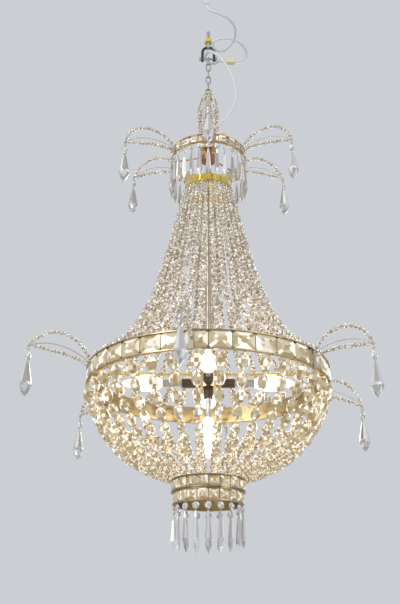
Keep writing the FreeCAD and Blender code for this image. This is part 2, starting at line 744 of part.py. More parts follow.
def make_tent():
    start = flat_point(S.tent_top_radius, -float(S.collar_depth + S.collar_height + S.flange_height
                                                 + S.string_wire + S.seat_gap))
    end = flat_point(S.ring_radius - S.rim_depth + S.rim_depth / 2,
                     -float(S.ring_depth) + float(S.string_wire + S.seat_gap))
    lean, rise = math.radians(float(S.tent_top_lean)), math.radians(float(S.tent_end_rise))
    first = start + V(0, -math.sin(lean), -math.cos(lean)) * float(S.tent_top_reach)
    last = end + V(0, math.cos(rise), math.sin(rise)) * float(S.tent_end_reach)
    count = int(S.tent_beads)
    radii = graded(float(S.tent_first_bead), float(S.tent_last_bead), count)
    path = curve([start, first, last, end])
    string = threaded(spaced(path, radii, 1.0, 2.5), radii, start=1.0, end=2.5, joints=TENT_JOINTS)
    quarters("tent", string, S.tent_strings)


def make_basket():
    start = flat_point(S.ring_radius - S.rim_depth / 2,
                       -float(S.ring_depth + S.ring_height + S.seat_gap))
    end = flat_point(S.foot_radius - S.rim_depth / 4,
                     -float(S.foot_depth) + float(S.string_wire + S.seat_gap))
    lean, rise = math.radians(float(S.basket_top_lean)), math.radians(float(S.basket_end_rise))
    first = start + V(0, math.sin(lean), -math.cos(lean)) * float(S.basket_top_drop)
    last = end + V(0, -math.cos(rise), math.sin(rise)) * float(S.basket_end_reach)
    ovals, beads = int(S.basket_ovals), int(S.basket_beads)
    wide, narrow = float(S.oval_radius), float(S.last_bead_radius)
    radii = graded(wide, 0.8 * wide, ovals) + graded(0.78 * wide, narrow, beads)
    lengths = [3.2 * radius for radius in radii[:ovals]] + [2.1 * radius for radius in radii[ovals:]]
    bare = float(S.string_end)
    profile = curve([start, first, last, end])
    points = spaced(profile, lengths, bare / 2, bare)
    string = threaded(points, radii, ovals, start=bare / 2, end=bare, joints=BASKET_JOINTS)
    quarters("basket", string, S.basket_strings)


# ---------------------------------------------------------------- lamps
def make_lamps():
    top = -float(stem_foot()) - float(S.seat_gap)
    radius, height = float(S.lamp_hub_radius), float(S.lamp_hub_height)
    socket_top = top - height + float(S.lamp_hub_socket)
    hub = Part.makeCylinder(radius, height, V(0, 0, top - height))
    socket = Part.makeCylinder(float(S.holder_radius + S.seat_gap), height, V(0, 0, socket_top - height))
    keep("lamp_hub", group("hub", [hub.cut(socket)]))
    gap = float(S.seat_gap)
    level = top + gap - float(S.globe_radius) - 2 * gap
    axes = [(flat_point(radius + gap, level), V(0, -1, 0), angle)
            for angle in [360.0 * n / int(S.side_lamps) for n in range(int(S.side_lamps))]]
    poses = [FreeCAD.Placement(V(), about_z(angle)).multiply(
        FreeCAD.Placement(place, FreeCAD.Rotation(UP, along))) for place, along, angle in axes]
    poses.append(FreeCAD.Placement(V(0, 0, socket_top - gap), FreeCAD.Rotation(UP, -UP)))
    holder, base, globe = lampholder(), bulb_base(), bulb_globe()
    for label, shape in (("lampholders", holder), ("bulb_bases", base), ("bulb_globes", globe)):
        copies = []
        for pose in poses:
            copy = shape.copy()
            copy.Placement = pose
            copies.append(copy)
        keep(label, group(label + "_set", copies))


def lampholder():
    """A ribbed holder that opens along +Z."""
    radius, length, floor = float(S.holder_radius), float(S.holder_length), float(S.holder_floor)
    ribs = int(S.holder_ribs)
    outline = [(0, 0), (radius, 0), (radius, floor)]
    pitch = (length - floor) / (2 * ribs)
    for n in range(ribs):
        low = floor + 2 * n * pitch
        outline += [(radius - 1, low), (radius - 1, low + pitch), (radius, low + pitch),
                    (radius, low + 2 * pitch)]
    outline += [(float(S.holder_bore), length), (float(S.holder_bore), floor), (0, floor)]
    return lathe(outline)


def bulb_base():
    """Screw base in the holder and the grey neck above it."""
    start = float(S.holder_floor) + float(S.seat_gap)
    mouth = float(S.holder_length) + 1.0
    base, neck = float(S.base_radius), float(S.sleeve_radius)
    return lathe([
        (0, start), (base, start), (base, start + float(S.base_length)), (neck, mouth),
        (neck + 1, mouth + float(S.sleeve_length)), (0, mouth + float(S.sleeve_length)),
    ])


def bulb_globe():
    """Candle glass, drawn out to a blunt tip."""
    start = float(S.holder_length) + 1.0 + float(S.sleeve_length) + float(S.seat_gap)
    radius, length, neck = float(S.globe_radius), float(S.globe_length), float(S.sleeve_radius) + 1
    side = Part.BSplineCurve()
    side.interpolate([
        V(neck, 0, start), V(0.84 * radius, 0, start + 0.16 * length), V(radius, 0, start + 0.38 * length),
        V(0.72 * radius, 0, start + 0.68 * length), V(0.2 * radius, 0, start + 0.97 * length),
    ])
    tip = V(0, 0, start + length)
    rim = V(0.2 * radius, 0, start + 0.97 * length)
    face = Part.Face(Part.Wire([
        Part.makeLine(V(0, 0, start), V(neck, 0, start)), side.toShape(),
        Part.makeLine(rim, tip), Part.makeLine(tip, V(0, 0, start)),
    ]))
    return face.revolve(V(), UP, 360)


# ---------------------------------------------------------------- sprays and pear drops
def spray(edge_radius, top, height, reach, rise, tilt):
    """One spray on the viewer's side: its frame, its two strings, and where its drop hangs.

    The spray turns by tilt about its root, and the bracket stays flat on the ring.
    """
    gap = float(S.seat_gap)
    wall, wide, wire = float(S.bracket_wall), float(S.bracket_width), float(S.string_wire)
    face = float(edge_radius) + gap
    root = face + wall
    high = top - float(S.spray_top)
    low = high - float(S.spray_split)
    plate_top = high + 2 * wire
    plate_height = plate_top - (top - height)
    plate = Part.makeBox(wide, wall, plate_height, V(-wide / 2, -root, top - height))
    tip_radius, tip_height = root + reach, high - 0.72 * float(S.spray_split)
    knuckle = float(S.knuckle_radius)
    turn = FreeCAD.Placement(V(), FreeCAD.Rotation(V(1, 0, 0), -tilt), flat_point(root, (high + low) / 2))

    def from_tip(distance, elevation):
        angle = math.radians(elevation)
        return flat_point(tip_radius - distance * math.cos(angle), tip_height + distance * math.sin(angle))

    def string(start_height, arch, elevation, run):
        control = start_height + arch / 0.75
        points = [flat_point(root + 0.24 * reach, control), from_tip(run, elevation),
                  from_tip(knuckle + 2 * gap, elevation)]
        path = curve([flat_point(root + gap + wire, start_height)] + [turn.multVec(p) for p in points])
        radii = [float(S.spray_bead_radius)] * int(S.spray_beads)
        return threaded(spaced(path, radii, 3.0, 4.5), radii, start=3.0, end=4.5, gap=0.4)[0]

    steep, flat = float(S.spray_upper_angle), float(S.spray_lower_angle)
    arch_run = (high + rise / 0.75 - tip_height) / math.sin(math.radians(steep))
    strings = [string(high, rise, steep, arch_run),
               string(low, float(S.spray_low_rise), flat, 0.33 * reach)]
    middle = curve([
        flat_point(root - 0.5, (high + low) / 2), flat_point(root + 0.3 * reach, high + 0.45 * rise),
        from_tip(0.33 * reach, (steep + flat) / 2), flat_point(tip_radius, tip_height),
    ])
    points = [turn.multVec(p) for p in middle.discretize(Number=9)]
    stalk = [bar(a, b, wire) for a, b in zip(points[:-1], points[1:])]
    joints = [Part.makeSphere(1.2 * wire, p) for p in points[1:-1]]
    tip = points[-1]
    eye_middle = tip - V(0, 0, knuckle + float(S.tip_eye_radius) - 0.4)
    eye = Part.makeTorus(float(S.tip_eye_radius), float(S.tip_eye_wire), eye_middle, V(1, 0, 0))
    frame = plate.multiFuse(stalk + joints + [Part.makeSphere(knuckle, tip), eye]).Solids[0]
    hang = eye_middle - V(0, 0, float(S.tip_eye_radius))
    return frame, strings, hang


def pear_drop():
    """Ring, bead and pear drop as one hanging piece; the origin is on the swing axis."""
    ring_radius, ring_wire = float(S.drop_ring_radius), float(S.drop_ring_wire)
    middle = float(S.tip_eye_wire) + ring_wire + float(S.joint_gap) - ring_radius
    ring = Part.makeTorus(ring_radius, ring_wire, V(0, 0, middle), V(0, 1, 0))
    bead_top = middle - ring_radius - 0.3
    bead_length, bead_radius = float(S.drop_bead_length), float(S.drop_bead_radius)
    bead = placed(oval_bead(bead_length, bead_radius, 1.5), V(0, 0, bead_top - bead_length / 2))
    top = bead_top - bead_length - 3.0
    radius, length = float(S.drop_radius), float(S.drop_length)
    pear = lathe([
        (0, top), (0.3 * radius, top), (0.62 * radius, top - 0.3 * length), (0.88 * radius, top - 0.56 * length),
        (radius, top - 0.68 * length), (0.7 * radius, top - 0.86 * length), (0.3, top - length),
        (0, top - length),
    ])
    pin = Part.makeCylinder(float(S.prism_wire), 7.0, V(0, 0, top - 2.0))
    return ring.multiFuse([bead, pear, pin]).Solids[0]


def make_sprays():
    drop = pear_drop()
    rings = (
        ("ring", S.ring_radius, S.ring_depth, S.ring_height, S.ring_spray_reach, S.ring_spray_rise,
         S.ring_spray_angle),
        ("crown", S.crown_radius, S.crown_depth, S.crown_height, S.crown_spray_reach, S.crown_spray_rise,
         S.crown_spray_angle),
    )
    for name, radius, depth, height, reach, rise, first in rings:
        frames, strings = [], []
        for n in range(int(S.spray_count)):
            tilts = SPRAY_TILTS[name]
            angle = float(first) + 360.0 * n / int(S.spray_count)
            frame, pair, hang = spray(radius, -float(depth), float(height), float(reach), float(rise),
                                      tilts[n % len(tilts)])
            turn = FreeCAD.Placement(V(), about_z(angle))
            frames.append(placed(frame, V(), about_z(angle)))
            strings += [placed(shape, V(), about_z(angle)) for shape in pair]
            place = turn.multVec(hang)
            label = "%s_drop_%d" % (name, n + 1)
            keep(label, group(label + "_solid", [placed(drop, place, about_z(angle))]))
            out = turn.multVec(V(0, -1, 0))
            print("hinge %s %.4f %.4f %.4f axis %.6f %.6f" % (label, place.x, place.y, place.z, out.x, out.y))
        keep(name + "_spray_frames", group(name + "_frames", frames))
        keep(name + "_spray_strings", group(name + "_strings", strings))


# ---------------------------------------------------------------- cables
def route_points(route):
    return [V(x, -towards, -depth) for x, towards, depth in route]


def rounded(points):
    """Straight runs joined by tangent arcs, each as large as its two runs allow."""
    edges = []
    at = points[0]
    for before, corner, after in zip(points[:-2], points[1:-1], points[2:]):
        come, go = corner - before, after - corner
        room = 0.45 * min(come.Length, go.Length)
        turn = come.getAngle(go)
        radius = room / math.tan(turn / 2)
        come.normalize()
        go.normalize()
        start, end = corner - come * room, corner + go * room
        inward = go - come
        inward.normalize()
        middle = corner + inward * (radius / math.cos(turn / 2) - radius)
        edges.append(Part.makeLine(at, start))
        edges.append(Part.Arc(start, middle, end).toShape())
        print("  bend radius %.1f" % radius)
        at = end
    edges.append(Part.makeLine(at, points[-1]))
    return Part.Wire(edges)


def cable(label, route):
    points = route_points(route)
    path = rounded(points)
    radius = float(S.flex_radius)
    section = Part.Wire(Part.makeCircle(radius, points[0], points[1] - points[0]))
    tube = path.makePipeShell([section], True, False)
    ratio = tube.Volume / (math.pi * radius ** 2 * path.Length)
    print("%s is %.0f mm long, volume over section times length %.4f" % (label, path.Length, ratio))
    keep(label, group(label + "_run", [tube]))


def make_cables():
    cable("supply_cable", SUPPLY_ROUTE)
    cable("lamp_flex", FLEX_ROUTE)
    gap = float(S.joint_gap)
    long, high, wide = float(S.block_length), float(S.block_height), float(S.block_width)
    right, left = route_points(SUPPLY_ROUTE)[-1], route_points(FLEX_ROUTE)[0]
    middle = (right + left) * 0.5
    block = Part.makeBox((right - left).Length - 2 * gap, wide, high)
    block = placed(block, V(left.x + gap, middle.y - wide / 2, middle.z - high / 2))
    keep("terminal_block", group("block", [block.makeFillet(1.2, block.Edges)]))
    end = route_points(FLEX_ROUTE)[-1]
    spoke_top = -float(spoke_depth()) + float(S.spoke_radius) + gap
    crown_block = Part.makeBox(long, wide, high, V(end.x + gap, end.y - wide / 2, spoke_top))
    keep("crown_terminal", group("crown_block", [crown_block.makeFillet(1.2, crown_block.Edges)]))
    exit_point = route_points(SUPPLY_ROUTE)[0]
    gland = Part.makeCone(float(S.gland_radius), float(S.flex_radius) + 1.5, float(S.gland_height) - gap,
                          V(exit_point.x, exit_point.y, 0), -UP)
    keep("ceiling_outlet", group("outlet", [gland]))


# ---------------------------------------------------------------- build, check and write
def check():
    doc.recompute()
    for piece in doc.Objects:
        wrong = [state for state in piece.State if state in ("Invalid", "Error")]
        if wrong:
            raise RuntimeError("%s is %s" % (piece.Name, wrong))
    for piece in PARTS:
        if piece.Shape.isNull() or not piece.Shape.isValid() or not piece.Shape.Solids:
            raise RuntimeError("%s has no valid solid" % piece.Label)


def write():
    os.makedirs("parts", exist_ok=True)
    for piece in PARTS:
        piece.Shape.exportStep("parts/%s.step" % piece.Label)
    print("%d nodes, %d solids" % (len(PARTS), sum(len(piece.Shape.Solids) for piece in PARTS)))


fill_sheet()
for make in (make_hook, make_shackle, make_chain, make_stem, make_neck, make_crown, make_collar,
             make_main_ring, make_bottom_ring, make_tent, make_basket, make_lamps, make_sprays,
             make_cables):
    make()
check()
write()
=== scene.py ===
"""Crystal chandelier: cut stones, gilt metal, lamps and cables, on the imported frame."""
import bisect
import math
import random

import bmesh
import bpy
from bpy.props import FloatProperty, FloatVectorProperty, IntProperty, PointerProperty
from bpy.types import Operator, Panel, PropertyGroup
from mathutils import Matrix, Vector


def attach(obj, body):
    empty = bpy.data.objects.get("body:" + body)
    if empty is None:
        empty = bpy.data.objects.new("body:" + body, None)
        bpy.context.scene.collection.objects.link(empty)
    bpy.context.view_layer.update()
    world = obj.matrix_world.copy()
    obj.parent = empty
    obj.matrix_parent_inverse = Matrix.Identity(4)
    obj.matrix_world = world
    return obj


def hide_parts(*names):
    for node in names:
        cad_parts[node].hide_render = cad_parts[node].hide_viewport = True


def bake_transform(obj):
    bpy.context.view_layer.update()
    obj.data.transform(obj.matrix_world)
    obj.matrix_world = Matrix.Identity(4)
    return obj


bl_info = {
    "name": "Crystal Chandelier",
    "version": (1, 0, 0),
    "blender": (4, 5, 0),
    "location": "View3D > Sidebar > Chandelier",
    "description": "Dresses a tent-and-basket crystal chandelier",
    "category": "Add Mesh",
}

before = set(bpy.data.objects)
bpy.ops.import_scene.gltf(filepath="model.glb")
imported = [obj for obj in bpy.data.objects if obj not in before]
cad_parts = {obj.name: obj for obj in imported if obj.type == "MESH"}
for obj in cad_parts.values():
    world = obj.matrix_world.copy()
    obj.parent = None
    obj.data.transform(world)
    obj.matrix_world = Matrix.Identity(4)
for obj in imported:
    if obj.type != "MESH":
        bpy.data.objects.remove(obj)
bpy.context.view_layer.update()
MM = 0.001

SIDES = ("front_right", "back_right", "back_left", "front_left")
SEEDS = {"tent": 10, "basket": 20, "neck": 30, "sprays": 40, "drops": 60}

# The places below are (radius, height) from the ceiling on the chandelier's axis. They and all lengths
# are in millimetres, and angles are in degrees.
STRINGS = 36                # of the tent, and of the basket
BEAD_GAP = 0.6
WIRE_SIDES = 5
TENT = {
    "top": (54.0, -450.55), "lean": 13.0, "top_reach": 210.0,
    "foot": (247.5, -886.95), "rise": 29.0, "foot_reach": 150.0, "widens": 1,
}
TENT_ENDS = (1.0, 2.5)      # bare wire above the first bead and below the last
BASKET = {
    "top": (247.5, -925.25), "lean": 17.0, "top_reach": 115.0,
    "foot": (71.75, -1105.95), "rise": 17.0, "foot_reach": 98.0, "widens": -1,
}
BASKET_ENDS = (2.25, 4.5)
OVAL_SHARE, BEAD_SHARE = 3.2, 2.1   # room on the basket's wire for each millimetre of radius
OVAL_TAPER, BEAD_START = 0.8, 0.78  # last oval and first bead, against the first oval
NECK_STRINGS = 11
NECK_TOP, NECK_FOOT = (8.5, -176.05), (17.5, -334.75)
NECK_POLES = ((34.5, 0.18), (21.5, 0.42))   # radius, and share of the neck's height below its top
NECK_BEADS = 18
NECK_BEAD_FIRST, NECK_BEAD_LAST = 2.6, 4.4
NECK_SPREAD = 1.15          # room for the last bead against the first
NECK_ENDS = (1.0, 1.0)
SPRAY_BEADS = 14
SPRAY_ENDS = (3.0, 4.5)
SPRAY_GAP = 0.4
SPRAYS = {  # ring: outside radius, top, reach, rise, first azimuth, tilts
    "ring": (250.0, -888.0, 120.0, 37.0, -7.0, (2, -2, -6, -6, -6, 11)),
    "crown": (89.0, -348.0, 123.0, 38.0, 0.0, (0, -8, 9, 0, 11, -11)),
}
BRACKET = 2.25              # how far a spray's bracket stands out from its ring
BRACKET_TOP = 5.0           # upper wire below the ring's top
WIRE_SPACING = 12.0         # between a spray's two wires at its bracket
TIP_SHARE = 0.72            # the tip lies this share of the spacing below the upper wire
STRING_CLEAR = 1.05         # strings start this far from the bracket
CUBIC_RISE = 0.75           # a cubic curve rises to this share of its inner poles' height
ROOT_SHARE = 0.24           # first pole, as a share of the reach
UPPER_FALL = 68.0           # slope of the upper string at the tip
LOWER_RISE, LOWER_FALL = 10.0, 6.0  # the lower string's rise, and its slope at the tip
LOWER_SHARE = 0.33          # its last pole before the tip, as a share of the reach
TIP_CLEAR = 3.5             # strings end this far from the tip
DROP_EYE = 9.0              # a drop's ring hangs this far below the tip
DROP_RING, DROP_RING_WIRE, DROP_RING_SAG = 2.6, 0.6, 0.9     # radii, and its middle below the eye
OVAL_TOP, OVAL_RADIUS, OVAL_HALF = 3.8, 5.6, 10.0            # the oval bead over a pear drop
PEAR_TOP = 23.0             # below the oval's top
# Rows of a pear drop and of a prism: radius and depth as shares of the stone's, and the pear's twist
PEAR = ((0.3, 0.0, 0.0), (0.94, 0.6, 0.0), (1.0, 0.68, 0.5), (0.66, 0.86, 0.0))
SPEAR = ((0.55, 0.18), (1.0, 0.78))
SPEAR_TOP, STONE_TIP = 1.8, 0.3      # radii of a prism's top, and of every tip
SPEAR_FLAT = 0.72           # a prism's depth against its width
SPEAR_TURN = 9.0            # prisms hang turned by up to this much
DROP_CUTS, BUTTON_CUTS, SPEAR_CUTS = 8, 10, 6       # facets round each stone
PIN = 0.7                   # radius of the pins
PIN_ABOVE, PIN_INSIDE = 4.0, 2.0     # a pin's ends, over a stone's top and in it
BUTTON_DROP, BUTTON_GAP = 2.0, 3.0   # bare pin over a button and under it
BUTTON_HALF = 0.45          # half of a button's depth, against its radius
PRISMS = {  # node: radius, height, count, setting of the length, seed
    "crown_prisms": (86.5, -369.25, 28, "crown_prism", 70),
    "bottom_prisms": (67.5, -1155.5, 18, "foot_prism", 71),
}
BLOCKS = {  # node: outside radius of the ring, top, height, count, finish, seed
    "crown_crystals": (89.0, -348.0, 21.0, 24, "cut_crystal", 80),
    "main_ring_crystals": (250.0, -888.0, 37.0, 36, "ring_crystal", 81),
    "bottom_crystals_upper": (73.0, -1107.0, 24.0, 20, "ring_crystal", 82),
    "bottom_crystals_lower": (70.0, -1131.25, 24.0, 20, "ring_crystal", 83),
}
BLOCK_BACK, BLOCK_FRONT = 4.7, 0.3   # a block's back and front, inside the ring's outside radius
BLOCK_SIDE, BLOCK_RIM = 0.8, 2.3     # room left at its sides, and at each rim
GIRDLE, GIRDLE_CLEAR = 0.45, 0.25    # its widest place, as a share of its depth
BACK_SHARE, BACK_BEVEL = 0.9, 0.3    # its back against its girdle, and the bevel between them
STEP_DEPTH, STEP_BASE = 0.7, 0.4     # the step between girdle and table, in depth and in width
CORNER, CORNER_GROWTH = 0.25, 0.5    # cut corners, larger towards the table


# ---------------------------------------------------------------- settings
def length(name, description, value):
    return FloatProperty(name=name, description=description, default=value * MM, unit="LENGTH")


def colour(name, description, value):
    return FloatVectorProperty(name=name, description=description, default=value, subtype="COLOR",
                               size=3, min=0.0, max=1.0)


class StringSizes(PropertyGroup):
    """The bead strings of the tent, the basket, the neck and the sprays."""
    tent_first: length("Tent Bead, Top", "Radius of the tent's beads at the collar", 4.1)
    tent_last: length("Tent Bead, Foot", "Radius of the tent's beads at the main ring", 8.2)
    tent_beads: IntProperty(name="Tent Beads", description="Beads on one string of the tent", default=38)
    oval: length("Oval", "Radius of the basket's first ovals", 11.0)
    basket_last: length("Basket Bead", "Radius of the basket's last beads", 5.2)
    ovals: IntProperty(name="Ovals", description="Ovals at the top of a basket string", default=5)
    basket_beads: IntProperty(name="Basket Beads", description="Beads below the ovals", default=8)
    spray_bead: length("Spray Bead", "Radius of the sprays' beads", 4.2)
    wire: length("Wire", "Radius of the wire through the beads", 0.8)
    cuts: IntProperty(name="Cuts", description="Facets round a bead", default=8, min=5)


class StoneSizes(PropertyGroup):
    """Prisms, pear drops and the blocks set in the rings."""
    button: length("Button", "Radius of the round bead above a prism", 7.0)
    prism: length("Prism", "Radius of a prism", 6.2)
    crown_prism: length("Crown Prism", "Length of the crown's prisms", 66.0)
    foot_prism: length("Bottom Prism", "Length of the bottom ring's prisms", 62.0)
    drop: length("Pear Drop", "Radius of a pear drop", 12.0)
    drop_length: length("Pear Drop Length", "Length of a pear drop", 66.0)
    table: FloatProperty(name="Table", description="Width of a block's flat front against its base",
                         default=0.30, subtype="FACTOR", min=0.2, max=0.9)


class Finishes(PropertyGroup):
    """Colours of the glass, the metals, the plastics and the cables."""
    # Painted reflections: the light and dark facet colours of the glass below stand for the bright and
    # dark parts of the room that cut glass shows, warm where they paint the bulbs' light.
    crystal: colour("Crystal", "Light facets of the crystal", (0.98, 0.88, 0.73))
    crystal_shade: colour("Crystal Shade", "Dark facets of the crystal", (0.33, 0.25, 0.16))
    # Painted lamp light: the lit crystal is a warmer copy of the crystal for the glass round the bulbs.
    warm: colour("Lit Crystal", "Crystal round the lamps", (1.0, 0.90, 0.68))
    warm_shade: colour("Lit Crystal Shade", "Dark facets round the lamps", (0.56, 0.39, 0.16))
    drop: colour("Drop", "Light facets of the prisms and drops", (0.95, 0.95, 0.96))
    drop_shade: colour("Drop Shade", "Dark facets of the prisms and drops", (0.50, 0.47, 0.43))
    gilt: colour("Gilt", "Gilded brass", (0.80, 0.63, 0.35))
    bright_gilt: colour("Bright Gilt", "Polished collar", (0.92, 0.70, 0.18))
    silvered: colour("Silvered Wire", "Wire of the sprays", (0.62, 0.56, 0.46))
    zinc: colour("Zinc", "Hook and chain", (0.52, 0.50, 0.46))
    shackle: colour("Shackle", "Painted shackle", (0.05, 0.05, 0.06))
    copper: colour("Copper", "Hub of the crown", (0.45, 0.20, 0.09))
    base: colour("Bulb Base", "Screw bases of the bulbs", (0.55, 0.56, 0.58))
    flex: colour("Flex", "White cables", (0.78, 0.79, 0.80))
    wiring: colour("Wiring", "Wires in the stem", (0.75, 0.68, 0.5))
    outlet: colour("Outlet", "Outlet in the ceiling", (0.82, 0.82, 0.80))
    cream: colour("Connector", "Cream terminal block", (0.84, 0.76, 0.48))
    orange: colour("Crown Terminal", "Orange terminal block", (0.88, 0.33, 0.05))
    yellow: colour("Hook Cap", "Yellow cap under the ceiling", (0.85, 0.62, 0.05))
    black: colour("Lampholder", "Dark lampholders", (0.10, 0.065, 0.035))
    glow: colour("Bulb", "Light of the bulbs", (1.0, 0.90, 0.72))
    glow_strength: FloatProperty(name="Bulb Strength", description="Strength of the bulbs' light",
                                 default=7.0, min=0.0)


# ---------------------------------------------------------------- shader maths
class Value:
    """An output socket of a shader tree. Arithmetic on it adds Math nodes."""

    def __init__(self, tree, socket=None):
        self.tree = tree
        self.socket = socket

    def add(self, kind, settings=None, inputs=None, output=0):
        """Add a node of a type, with its settings and the values or links of its sockets."""
        node = self.tree.nodes.new(kind)
        for key, value in (settings or {}).items():
            if key == "stops":
                while len(node.color_ramp.elements) < len(value):
                    node.color_ramp.elements.new(0.5)
                for stop, (place, shade) in zip(node.color_ramp.elements, value):
                    stop.position = place
                    stop.color = (*shade, 1.0)
            else:
                setattr(node, key, value)
        for key, value in (inputs or {}).items():
            if isinstance(value, Value):
                self.tree.links.new(value.socket, node.inputs[key])
            else:
                node.inputs[key].default_value = value
        return Value(self.tree, node.outputs[output] if len(node.outputs) else None)

    def math(self, operation, other=0.0, swap=False):
        first, second = (other, self) if swap else (self, other)
        return self.add("ShaderNodeMath", {"operation": operation}, {0: first, 1: second})

    def __add__(self, other):
        return self.math("ADD", other)

    __radd__ = __add__

    def __sub__(self, other):
        return self.math("SUBTRACT", other)

    def __rsub__(self, other):
        return self.math("SUBTRACT", other, True)

    def __mul__(self, other):
        return self.math("MULTIPLY", other)

    __rmul__ = __mul__

    def above(self, edge, width):
        """0 below edge, 1 above edge + width, and straight between."""
        return self.add("ShaderNodeMapRange", {"clamp": True},
                        {"Value": self, "From Min": edge, "From Max": edge + width})

    def mix(self, low, high):
        """A colour between two, by this value."""
        return self.add("ShaderNodeMix", {"data_type": "RGBA"},
                        {0: self, 6: opaque(low), 7: opaque(high)}, 2)


def opaque(shade):
    return shade if isinstance(shade, Value) else (*shade, 1.0)


def shade_by(shade, factor):
    return tuple(min(1.0, part * factor) for part in shade)


def facet_shades(dark, light):
    """Five painted shades of cut glass, from painted shade on its dark facets to its painted glints."""
    def between(part):
        return tuple(a + (b - a) * part for a, b in zip(dark, light))

    return dark, between(0.30), between(0.62), tuple(light), tuple(0.5 + 0.5 * part for part in light)


def new_material(name):
    """An empty material and the start of its shader tree."""
    material = bpy.data.materials.new(name)
    material.use_nodes = True
    material.node_tree.nodes.clear()
    return material, Value(material.node_tree)


def finish_of(name):
    return bpy.data.materials[name]


def surface(tree, sockets):
    """The principled surface of a material, from the values of its sockets."""
    body = tree.add("ShaderNodeBsdfPrincipled", None, sockets)
    tree.add("ShaderNodeOutputMaterial", None, {"Surface": body})
    return body


def grain(tree, scale, detail=3.0, roughness=0.55):
    """Noise on the piece itself, at a scale per metre."""
    place = tree.add("ShaderNodeTexCoord", None, None, "Object")
    return tree.add("ShaderNodeTexNoise", None,
                    {"Vector": place, "Scale": scale, "Detail": detail, "Roughness": roughness})


def bumped(tree, height, strength, distance):
    return tree.add("ShaderNodeBump", None,
                    {"Height": height, "Strength": strength, "Distance": distance})


# Places of the five painted reflection shades along a facet's tone.
FACET_STOPS = (0.12, 0.30, 0.54, 0.78, 0.90)


def crystal(name, shades, clear=0.0, glint_strength=0.6, glint_from=0.84, cloud=0.10):
    """Cut glass with painted reflections: each facet's base colour, dark to light, stands for the part
    of the room it would show, and a few glow as painted glints.
    """
    material, tree = new_material(name)
    tone = tree.add("ShaderNodeAttribute", {"attribute_name": "tone"}, None, 2)
    flaw = grain(tree, 420.0, 1.0)
    split = tone * 0.96 + (flaw - 0.5) * cloud
    stops = list(zip(FACET_STOPS, shades))
    # Painted reflections: each facet's random tone picks a base colour from painted shade to light, for
    # the room that cut glass would show.
    facets = tree.add("ShaderNodeValToRGB", {"stops": stops}, {"Fac": split})
    # Painted glints: facets whose tone passes the threshold glow in the lightest shade, though no lamp
    # is there.
    painted_glint = split.above(glint_from, 0.08).mix((0.0, 0.0, 0.0), shades[-1])
    surface(tree, {
        "Base Color": facets, "Roughness": 0.04 + flaw * 0.06, "IOR": 1.53, "Transmission Weight": clear,
        "Coat Weight": 0.5, "Coat Roughness": 0.03, "Emission Color": painted_glint, "Emission Strength": glint_strength,
    })
    return material


def metal(name, shade, rough=0.22, stain=0.35, dent=0.12):
    """Plated metal with cloudy lacquer, darker in its stains."""
    material, tree = new_material(name)
    cloud = grain(tree, 55.0, 5.0)
    speck = grain(tree, 900.0, 2.0)
    stains = cloud.above(0.50, 0.22) * stain + speck.above(0.62, 0.10) * (0.6 * stain)
    colours = stains.mix(shade, shade_by(shade, 0.38))
    surface(tree, {
        "Base Color": colours, "Metallic": 1.0 - stains * 0.25, "Roughness": rough + stains * 0.45,
        "Normal": bumped(tree, speck * 0.5 + cloud, dent, 0.0004),
    })
    return material


def plastic(name, shade, rough=0.4, grime=0.3, dent=0.15):
    """Moulded plastic or flex, with handling grime and a faint moulded skin."""
    material, tree = new_material(name)
    dirt = grain(tree, 90.0, 6.0, 0.7).above(0.5, 0.3) * grime
    skin = grain(tree, 1600.0, 1.0)
    surface(tree, {
        "Base Color": dirt.mix(shade, shade_by(shade, 0.55)), "Roughness": rough + dirt * 0.4,
        "Normal": bumped(tree, skin, dent, 0.0002),
    })
    return material


def bulb_glass(name, glow, strength):
    """Lit opal glass, its glow a little uneven in clouds."""
    material, tree = new_material(name)
    cloud = grain(tree, 60.0, 2.0)
    surface(tree, {
        "Base Color": cloud.mix((0.95, 0.93, 0.88), (1.0, 0.98, 0.94)), "Roughness": 0.12 + cloud * 0.1,
        "Emission Color": cloud.mix(glow, shade_by(glow, 1.08)), "Emission Strength": strength,
    })
    return material


# ---------------------------------------------------------------- curves and stones
class Path:
    """A cubic curve of (radius, height) poles, read by length."""

    def __init__(self, poles, steps=400):
        a, b, c, d = [Vector(pole) for pole in poles]
        self.points = []
        for n in range(steps + 1):
            t = n / steps
            s = 1.0 - t
            self.points.append(a * s ** 3 + b * (3 * s * s * t) + c * (3 * s * t * t) + d * t ** 3)
        self.reached = [0.0]
        for before, after in zip(self.points[:-1], self.points[1:]):
            self.reached.append(self.reached[-1] + (after - before).length)
        self.total = self.reached[-1]

    def at(self, reach):
        n = min(max(bisect.bisect_left(self.reached, reach), 1), len(self.points) - 1)
        part = (reach - self.reached[n - 1]) / (self.reached[n] - self.reached[n - 1])
        return self.points[n - 1].lerp(self.points[n], part)

    def spaced(self, shares, start, end):
        """The curve's start, the middle of each share in turn, and its end."""
        scale = (self.total - start - end) / sum(shares)
        points, reached = [self.points[0]], start
        for share in shares:
            points.append(self.at(reached + scale * share / 2))
            reached += scale * share
        return points + [self.points[-1]]


def in_metres(lengths):
    return tuple(value * MM for value in lengths)


def graded(first, last, count):
    return [first + (last - first) * n / max(count - 1, 1) for n in range(count)]


def stand(azimuth, radius, height, out=0.0, up=1.0):
    """A place in the chandelier, Z along (out, up) and X along the ring. Azimuth 0 faces the viewer."""
    turn = math.radians(azimuth)
    along = Vector((math.cos(turn), math.sin(turn), 0.0))
    outward = Vector((math.sin(turn), -math.cos(turn), 0.0))
    axis = (outward * out + Vector((0.0, 0.0, up))).normalized()
    place = Matrix((along, axis.cross(along), axis)).transposed().to_4x4()
    place.translation = outward * radius + Vector((0.0, 0.0, height))
    return place


